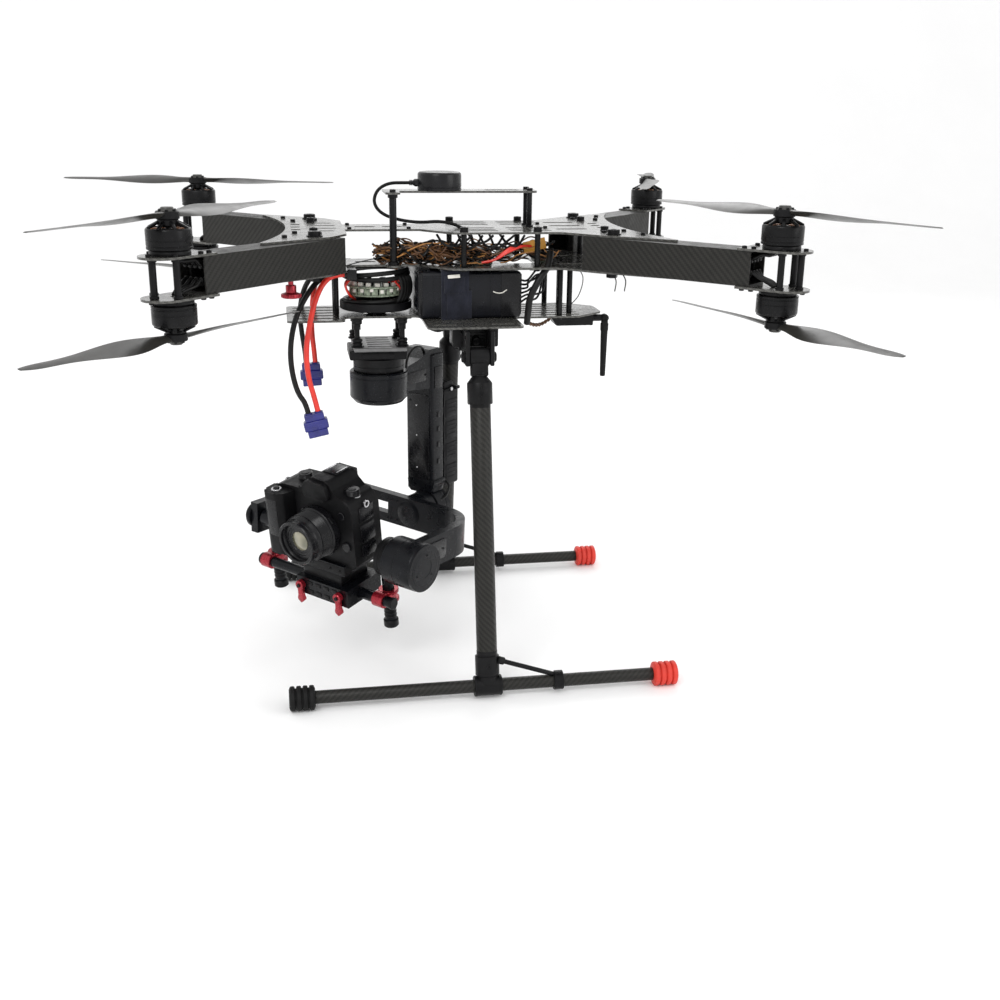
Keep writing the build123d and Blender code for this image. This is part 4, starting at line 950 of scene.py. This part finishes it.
# ---- landing gear ----
def make_gear(side, name):
    """Drive unit under the deck, leg with its fittings, and skid with grooved caps."""
    housings = ["retract_housings"] if side < 0 else ()
    drive = Piece(name + "_drive", "airframe", "black_metal", replaces=housings)
    drive.boxes(((LEG_X, side * 82, 424.6), (55.6, 31.6, 25.6), 2.4, 3),
            ((LEG_X, side * 82, 409.6), (40, 24, 5), 1.4))
    for x in (-1, 1):
        cx = LEG_X + x * 14.8
        drive.box(at(cx, side * 114, 416.6), (5, 39.6, 41.4), 1.4, 2)
        drive.turned(at(cx + x * 2.4, side * HINGE_Y, HINGE_Z, ry=90 * x),
                [(7.5, 0), (7.5, 1.2), (6, 1.6), (6, 3), (5.2, 3.6)], 28)
        for y, z in ((100, 430), (128, 430), (100, 402)):
            drive.screw(at(cx + x * 2.4, side * y, z, ry=90 * x), 2.2, 1.8, 14)
        drive.rod((LEG_X + x * 20, side * 74, 437), (LEG_X + x * 20, side * 74, 406), 2.6)
    drive.rod((LEG_X - 17, side * HINGE_Y, HINGE_Z), (LEG_X + 17, side * HINGE_Y, HINGE_Z), 3.9)
    drive.rod((LEG_X, side * 92, 424), (LEG_X, side * 104, 420), 5, 0.8)
    for k in range(4):
        drive.box(at(LEG_X, side * 97.4, 418 + 4 * k), (22, 2, 1.6), 0.5)
    place = leg_place(side)
    neck = Piece(name + "_leg_fittings", name + "_gear", "black_metal", replaces=[name + "_leg"])
    neck.collar(place @ at(-12, 0, 0) @ ALONG_X, 4.1, 10.9, 0, 24, 0.9, 32)
    neck.box(place @ at(0, 0, -14), (20.4, 15.6, 18), 2.2, 3)
    neck.turned(place, [(9.5, -18), (9.5, -20), (8.6, -20.6), (8.6, -22.4), (10, -24), (15, -30.4),
            (15.2, -31), (15.2, -54.6), (14.4, -56), (12.6, -56), (12.6, -60)], 44)
    neck.screw(place @ at(0, side * 14.6, -44, rx=-90 * side), 2.6, 1.8, 14)
    neck.screw(place @ at(0, side * 14.6, -36, rx=-90 * side), 2.0, 1.4, 14)
    neck.box(place @ at(0, side * 15.2, -44), (2, 1.2, 21), 0.4)
    end = LEG_LENGTH
    neck.rev(place, [(0, -end + 44), (12.7, -end + 44), (12.7, -end + 38.4), (14.2, -end + 38),
            (14.7, -end + 37.4), (14.7, -end + 14), (13.2, -end + 12.6), (13.2, -end + 3), (0, -end + 3)],
            44)
    neck.ring(place @ at(-17, 0, -end) @ ALONG_X, [(8.1, 0), (12, 0), (12.7, 0.7), (12.7, 3), (12.3, 3.4),
            (12.3, 30.6), (12.7, 31), (12.7, 33.3), (12, 34), (8.1, 34)], 44)
    neck.screw(place @ at(0, side * 14.2, -end + 26, rx=-90 * side), 2.2, 1.6, 14)
    tube = Piece(name + "_leg_tube", name + "_gear", f"weave_{name}_leg", "carbon_weave")
    tube.rod((0, 0, -55), (0, 0, -end + 36), LEG_R, 0.3, 48, place)
    foot = at(LEG_X, side * SKID_Y, SKID_Z)
    bar = Piece(name + "_skid_tube", name + "_gear", f"weave_{name}_skid", "carbon_weave", [name + "_skid"])
    bar.rod((-SKID_HALF, 0, 0), (SKID_HALF, 0, 0), SKID_R, 0.4, 40, foot)
    for x, tail in ((-1, "nose"), (1, "tail")):
        cap = Piece(f"{name}_{tail}_cap", name + "_gear", "black_rubber" if x < 0 else "red_rubber")
        profile = [(8.05, 209), (11, 209), (12.4, 209.6)]
        for k in range(4):
            low = 210.4 + 7.6 * k
            profile += [(14.2, low), (15, low + 1), (15, low + 4.4), (14.2, low + 5.4), (12.2, low + 5.8),
                    (12.2, low + 7)]
        profile = profile[:-2] + [(12.6, 239.4), (11, 240), (0, 240), (0, 235), (8.05, 235)]
        cap.ring(foot @ at(ry=90 * x), profile, 48)
    stay = Piece(name + "_stay", name + "_gear", "black_metal")
    stay.rod((16.5, 0, 32), (86, 0, 7.8), 2.9, 0.8, 24, foot)
    stay.turned(foot @ at(14, 0, 33, ry=109), [(4, -2), (4.8, -1), (4.8, 5), (4, 6.4)], 24)
    stay.collar(foot @ at(82, 0, 0) @ ALONG_X, 8.05, 11, 0, 12, 0.6, 36)
    stay.box(foot @ at(88, 0, 10.4), (11.4, 7, 5), 1.2)
    stay.screw(foot @ at(88, -3.2, 10.6, rx=90), 1.9, 1.2, 12)


for side, name in ((-1, "front"), (1, "rear")):
    make_gear(side, name)


# ---- gimbal: hanger and pan stage ----
def make_hanger():
    """Plate and block on four damped rods, with the fixed half of the pan motor."""
    top = Piece("hanger_plate", "airframe", "scuffed_plate", "carbon_plate", ["gimbal_hanger"])
    top.box(at(PAN_X, 0, 399.6), (65.6, 83.6, 4.8), 1.6, 3)
    slots = Piece("hanger_block", "airframe", "black_metal")
    for y in (-28, -14, 0, 14, 28):
        slots.prism(at(PAN_X, y, 402), oblong(30, 4.6, 2.2), -0.6, 0.35, 0.15)
    slots.boxes(((-100, 0, 391), (72, 64, 12), 2.2, 3), ((-100, -32.4, 391), (40, 2, 6), 0.7))
    slots.turned(at(PAN_X, 0, 0), [(30, 385), (32, 384), (32, 375), (31.6, 374.6), (31.6, 373.8),
            (32, 373.4), (32, 367.8), (31.6, 367.1)], 64)
    for x in (-126, -70):
        for y in (-30, 30):
            slots.rod((x, y, 402), (x, y, 437.4), 3.2)
            slots.ring(at(x, y, 0), [(3.1, 402), (8, 402), (8, 403.6), (6.2, 404), (6.7, 406.4), (5.4, 408),
                    (6.7, 409.8), (6.2, 412.2), (4, 413), (3.1, 413)], 28)
            slots.ring(at(x, y, 0), [(3.1, 424), (4.6, 424), (4.6, 430), (6.4, 431.4), (6.4, 436),
                    (7.8, 436.4), (7.8, 437.4), (3.1, 437.4)], 28)
            slots.screw(at(x, y, 397.2, rx=180), 3.4, 2.4)
    for x in (-124, -76):
        slots.screw(at(x, -24, 402), 2.4, 1.6)
        slots.screw(at(x, 24, 402), 2.4, 1.6)


make_hanger()


def make_pan():
    """Pan motor, column with its panels and battery, and the roll motor's housing."""
    motor = Piece("pan_motor", "gimbal_pan", "gimbal_black", replaces=["pan_column"], base=PAN)
    motor.ring(WORLD, [(6.1, 366.4), (35.6, 366.4), (37, 365), (37, 361), (36.6, 360.6), (36.6, 359.8),
            (37, 359.4), (37, 334), (36.4, 332.6), (33.4, 329.4), (31, 326.6), (29, 325.9), (10, 325.9),
            (9, 326.6), (6.1, 326.6)], 72)
    outline = [(0, 361), (-36, 362), (-72, 370), (-92, 379), (-114, 379), (-120, 372), (-120, 330),
            (-92, 326), (-60, 330), (-30, 333), (0, 333)]
    motor.prism(XZY, rounded(outline, 5, 3), -29, 11, 3.0, 3)
    motor.prism(WORLD, [(x - 106, y - 9) for x, y in oblong(27.6, 45.6, 5)], 179, 371.6, 1.6, 2)
    motor.turned(at(-119.6, 0, ROLL_Z) @ ALONG_X, [(23.6, 0), (25, 1.4), (25, 8), (24.5, 8.5), (24.5, 9.5),
            (25, 10), (25, 26), (24.4, 26.8)], 56)
    motor.rod((-100, 0, ROLL_Z), (-74, 0, ROLL_Z), 4.95)
    motor.prism(YZX, rounded([(-27, 176), (10, 176), (18, 196), (-31, 196)], 3), -119, -93, 1.5)
    panels = Piece("column_panels", "gimbal_pan", "smooth_plastic", "black_plastic", base=PAN)
    panels.prism(YZX, rounded([(-27, 196), (9, 196), (9, 316), (-27, 316)], 4), -92.4, -91.1, 0.5)
    panels.prism(YZX, rounded([(-22, 322), (4, 322), (4, 362), (-22, 362)], 4), -92.4, -91.3, 0.5)
    for z in (206, 306):
        for y in (-23, 5):
            panels.screw(at(-91.2, y, z, ry=90), 1.5, 0.9, 12)
    for k, z in enumerate((222, 246, 268, 288)):
        panels.box(at(-106, 14.3, z), (5, 1.2, 7), 0.4)
    panels.boxes(((-106, 14.2, 340), (16, 1.6, 30), 0.7), ((-60, 11.2, 347), (46, 1.4, 16), 0.6))
    for x in (-82, -38):
        panels.screw(at(x, 11.8, 347, rx=-90), 1.7, 1, 12)
    pack = Piece("gimbal_battery_case", "gimbal_pan", "dark_plastic", "black_plastic", ["gimbal_battery"],
            base=PAN)
    pack.boxes(((-137.8, -8, 249), (34.6, 39.6, 137.6), 3.2, 3), ((-138, -8, 322), (20, 30, 9.6), 1.8, 3),
            ((-150, 4, 318), (9, 22, 5), 1.4))
    for k in range(4):
        z = 198 + 31 * k
        pack.box(at(-138, 11.9, z), (25, 1.8, 25), 0.8, 2)
        for j in range(3):
            pack.box(at(-138, 12.9, z - 6 + 6 * j), (18, 0.9, 2.2), 0.4)
    for k in range(5):
        pack.box(at(-121.2, 11, 196 + 27 * k), (2.0, 4, 17), 0.6)
    steel = Piece("column_contacts", "gimbal_pan", "steel", base=PAN)
    for z in (212, 258, 300):
        steel.screw(at(-91.2, -12, z, ry=90), 1.2, 0.7, 12)
    steel.turned(at(-137, 13.0, 318, rx=-90), [(2.6, 0), (2.6, 0.8), (2, 1.2)], 20)
    cable = Piece("pan_cables", "gimbal_pan", "black_silicone", "black_rubber")
    cable.wire([tuple(PAN @ Vector(p)) for p in ((-92, 2, 372), (-78, 8, 384), (-60, 10, 386),
            (-44, 12, 376), (-40, 12.4, 362))], 7, 1.7, 9)
    cable.wire([tuple(PAN @ Vector(p)) for p in ((-122, 6, 196), (-124, 18, 184), (-112, 22, 172),
            (-98, 20, 166))], 7, 1.8, 9)


make_pan()


# ---- gimbal: roll stage ----
def make_roll():
    """Tilt motor, far bearing, roll bearing and the yoke's covers and screws."""
    side = Piece("tilt_motor", "gimbal_roll", "gimbal_black", base=ROLL)
    side.rev(at(80, 90, 0) @ ALONG_Y, [(5.2, 0.3), (29.4, 0.3), (30.5, 1.4), (30.5, 18), (30.1, 18.4),
            (30.1, 19.4), (30.5, 19.8), (30.5, 42), (29.6, 44.6), (27.4, 46.6), (24, 47.1), (22.6, 47.1),
            (22.2, 46.7), (21.4, 46.7), (21, 47.2), (12.4, 47.4), (12, 46.9), (0, 46.9)], 72)
    for k in range(3):
        side.screw(at(80, 137.0, 0) @ ALONG_Y @ at(rz=120 * k + 20) @ at(17, 0, 0), 1.9, 0.8, 14)
    knob = at(80, -150, 0, rx=90)
    side.turned(knob, [(16, -1), (17.4, 0.4), (17.4, 4), (16.4, 5), (12.4, 5.4), (12.4, 6.6), (13.6, 7),
            (13.6, 7.8), (12.8, 8.2)], 48)
    side.screw(knob @ at(0, 0, 7.8), 4, 0.8)
    for y in (-133, -94, -77, -36, -30, -20):
        for z in (-14, 14):
            side.screw(at(-56.2, y, z, ry=90), 1.9, 1.2, 14)
    for k in range(22):
        side.box(at(-63, -118 + 7 * k, -21.6), (9, 3.4, 1.6), 0.5)
    side.ring(at(-92, 0, 0) @ ALONG_X, [(5.2, 0.3), (22, 0.3), (23.3, 1.6), (23.3, 12), (22.9, 12.4),
            (22.9, 13.4), (23.3, 13.8), (23.3, 24), (5.2, 24)], 56)
    side.turned(at(-56.4, 0, 0) @ ALONG_X, [(18, 0), (18, 1), (17, 1.6), (9, 1.6), (8.4, 1)], 44)
    cover = Piece("yoke_covers", "gimbal_roll", "smooth_plastic", "black_plastic", base=ROLL)
    cover.prism(XZY, rounded([(6, -13), (48, -13), (48, 13), (6, 13)], 5), 111.9, 113.2, 0.5)
    cover.prism(XZY, rounded([(-14, -12), (50, -12), (50, 12), (-14, 12)], 5), -151.2, -149.9, 0.5)
    for x in (12, 42):
        cover.screw(at(x, 113, 0, rx=-90), 1.6, 0.9, 12)
        cover.screw(at(x, -151, 0, rx=90), 1.6, 0.9, 12)


make_roll()


# ---- gimbal: camera cage, clamps, camera and lens ----
POSTS_Y, BAR_ENDS, BAR_Z, LEVER_Z = (-121, 74), (-134, 92), -55, -50


def make_cage():
    """Fittings of the cage, the red clamps on its posts and cross bar, and the two levers."""
    ends = Piece("cage_fittings", "gimbal_tilt", "black_metal", base=TILT)
    for y in POSTS_Y:
        ends.ring(at(0, y, 0), [(7.4, -101), (8.6, -101), (9.6, -100), (9.6, -92), (8.8, -91), (7.4, -91)],
                32)
        for k in range(5):
            ends.ring(at(0, y, -86 + 5 * k), [(7.4, 0), (8, 0.5), (8, 2.5), (7.4, 3)], 28)
        ends.rev(at(0, y, 11.8), [(0, 0), (7.6, 0), (7.2, 1.4), (0, 2)], 28)
    for y in BAR_ENDS:
        ends.turned(at(16, y, BAR_Z) @ ALONG_Y, [(7, -0.4), (7.8, 0.2), (7.8, 3.4), (7, 4)], 28)
    ends.ring(at(0, 74.5, 0) @ ALONG_Y, [(5.2, 0), (24.2, 0), (25, 0.8), (25, 6), (24.4, 6.6), (24.4, 7.4),
            (25, 8), (25, 13.4), (24, 14.6), (5.2, 14.6)], 56)
    for y in (-38, 40):
        for x in (-14, 38):
            ends.screw(at(x, y, -63.8, rx=180), 2.6, 1.8, 14)
    for z in (-58, -46):
        for y in (-20, -6, 8, 22):
            ends.box(at(44.2, y, z), (1.4, 9, 5), 0.5)
    ends.boxes(((12, -3, -31), (51, 65, 15), 2.4, 3), ((12, -7, -15), (57, 93, 12.4), 2.0, 3))
    for y in (-46, -30, 16, 32):
        ends.screw(at(40.3, y, -15, ry=90), 1.9, 1.2, 14)
    ends.box(at(-18, 1, -20), (10, 50, 22), 2)
    ends.rod((12, -74, -15), (12, -54, -15), 4.4, 0.8)
    ends.turned(at(12, -74, -15) @ ALONG_Y, [(7, -3), (8, -2), (8, 3), (7, 4)], 12)
    clamps = Piece("red_clamps", "gimbal_tilt", "red_anodised", replaces=["cage_clamps"], base=TILT)
    for y in POSTS_Y:
        for z in (-61, -49):
            clamps.collar(at(0, y, z), 7.6, 13, -2.2, 2.2, 0.6, 36)
        clamps.collar(at(16, y, BAR_Z) @ ALONG_Y, 7.1, 10, -8, 8, 0.6, 36)
        for dy in (-9.6, 9.6):
            clamps.box(at(8, y + dy, BAR_Z), (20, 3.0, 13), 1.2)
            clamps.screw(at(10, y + dy * 1.15, BAR_Z, rx=-90 if dy > 0 else 90), 2, 1, 12)
    clamps.rod((48, -33, LEVER_Z), (52, -33, LEVER_Z), 2.2)
    for hand, y in (("left", -33), ("right", 31)):
        lever = Piece(hand + "_lever_arm", hand + "_lever", "red_anodised",
                replaces=["clamp_lever_" + hand])
        place = TILT @ at(44.4, y, LEVER_Z)
        lever.ring(place @ ALONG_X, [(2.6, 0), (5.6, 0), (6.2, 0.6), (6.2, 6.2), (5.6, 7), (2.6, 7)], 28)
        shape = rounded([(-4.4, -3), (4.4, -3), (3.2, -14), (5.4, -21), (0, -26.5), (-5.4, -21),
                (-3.2, -14)], 1.6, 3)
        lever.prism(place @ YZX, shape, 0.8, 6.4, 1.0)


make_cage()


def make_camera_body():
    """Camera with its controls, metal rims, lens and shutter button."""
    body = Piece("camera_shell", "gimbal_tilt", "camera_skin", "camera_black", ["camera_body"], base=TILT)
    front = [(-74, -8), (56, -8), (56, 68), (50, 82), (36, 84), (27, 92), (20, 103), (-6, 104), (-16, 96),
            (-26, 84), (-58, 83), (-74, 76)]
    body.prism(YZX, rounded(front, [4, 4, 9, 9, 6, 8, 6, 6, 8, 6, 8, 8], 4), -16, 35, 2.6, 3)
    grip = [(30, -74), (50, -74), (57, -68), (57, -50), (50, -42), (36, -37), (30, -37)]
    body.prism(WORLD, rounded(grip, [2, 7, 6, 7, 6, 4, 2], 4), -8, 78, 3.0, 3)
    body.prism(YZX, rounded([(-20, 78), (26, 78), (20, 100), (-12, 101)], 6, 4), 30, 42, 2.4, 3)
    trim = Piece("camera_controls", "gimbal_tilt", "smooth_plastic", "camera_black", base=TILT)
    for x, y in ((6, -44), (12, 40)):
        ridged = [(9.4 if k % 2 else 8.9, 82.5 + 0.55 * k) for k in range(12)]
        trim.rev(at(x, y, 0), [(0, 80)] + [(9.4, 80)] + ridged + [(8.2, 89.6), (0, 89.8)])
        trim.turned(at(x, y, 89.6), [(5, 0), (5, 0.7)], 28)
    trim.boxes(((2, 7, 104.2), (26, 21, 2.2), 0.7), ((-19, 8, 92), (6, 26, 18), 2.4, 3),
            ((55.6, -58, 44), (3.4, 17, 52), 1.6, 3))
    trim.turned(at(35, 40, 62) @ ALONG_X, [(5, 0), (5, 1.4), (4.2, 2)], 28)
    trim.turned(at(35, 44, 20) @ ALONG_X, [(6.4, 0), (6.4, 2.2), (5.6, 3)], 32)
    for z, h in ((60, 20), (34, 24), (10, 16)):
        trim.box(at(9, 56.4, z), (26, 1.6, h), 0.7)
    trim.box(at(8, -74.2, 38), (30, 1.6, 50), 0.7)
    chrome = Piece("camera_metal", "gimbal_tilt", "steel", base=TILT)
    chrome.ring(at(44, -59, 78), [(4.3, -0.5), (6.8, -0.5), (6.8, 0.9), (6.2, 1.5), (4.3, 1.5)], 32)
    chrome.collar(at(6, -44, 0), 9.3, 10, 80.2, 81.6, 0, 36)
    chrome.collar(at(12, 40, 0), 9.3, 10, 80.2, 81.6, 0, 36)
    chrome.boxes(((2, -1.6, 105.2), (19, 1.6, 0.9), 0.2), ((2, 15.6, 105.2), (19, 1.6, 0.9), 0.2))
    for y in (-75, 57):
        chrome.collar(at(8, y, 72, rx=90), 3.0, 4.6, -1.2, 1.2, 0, 24)
    axis = TILT @ at(36, 2, 34) @ ALONG_X
    lens = Piece("lens_barrel", "gimbal_tilt", "smooth_plastic", "lens_black", ["camera_lens"])
    ribs = [(31 if k % 2 else 30.2, 13 + 0.9 * k) for k in range(18)]
    lens.ring(axis, [(20, 0), (33, 0), (33, 9.6), (32.4, 10.4), (31.2, 11), (31.2, 12)] + ribs
            + [(31.2, 29.6), (30.8, 31), (28.6, 33.6), (28.4, 34.2), (28.4, 38), (28, 38.4), (28, 39.2),
            (28.4, 39.6), (28.4, 44), (27.6, 45), (24.6, 45), (24.1, 44.4), (24.1, 41), (23, 39.4),
            (22.4, 37.4), (21.2, 36), (20, 35)], 72)
    for k in range(4):
        lens.box(axis @ at(rz=40 + 90 * k) @ at(33, 0, 6), (2.4, 9, 3.2), 0.8)
    lens.ring(axis, [(22.6, 38.6), (19, 38.4), (18.6, 37.4), (16, 37.2), (15.6, 36.6), (12.2, 36.2),
            (12.2, 34), (22, 34)], 64)
    glass = Piece("lens_front", "gimbal_tilt", "lens_glass")
    glass.rev(axis, [(0, 39.4), (5, 39.1), (9, 38.2), (12.4, 36.8), (12.4, 33), (0, 33)], 56)
    button = Piece("shutter_cap", "shutter", "smooth_plastic", "black_plastic", ["shutter_button"],
            base=TILT)
    button.rev(at(44, -59, 78), [(0, -1.5), (4, -1.5), (4, 2.6), (3.4, 3.5), (0, 3.9)], 28)


make_camera_body()


for piece in list(PIECES):
    piece.done()


# ---- CAD nodes that keep their shape ----
KEPT = {"top_plate": "weave_plate", "middle_plate": "weave_plate", "lower_deck": "weave_plate",
        "gps_platform": "weave_plate", "roll_arm": "gimbal_black", "camera_cage": "gimbal_black"}
for corner in CORNERS:
    KEPT[corner + "_arm"] = "weave_" + corner
    KEPT[corner + "_motor_mount"] = "weave_plate"
    for level in ("top", "bottom"):
        KEPT[f"{corner}_{level}_propeller"] = "blade"
for node, mat in KEPT.items():
    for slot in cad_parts[node].material_slots:
        slot.material = MATS[mat]
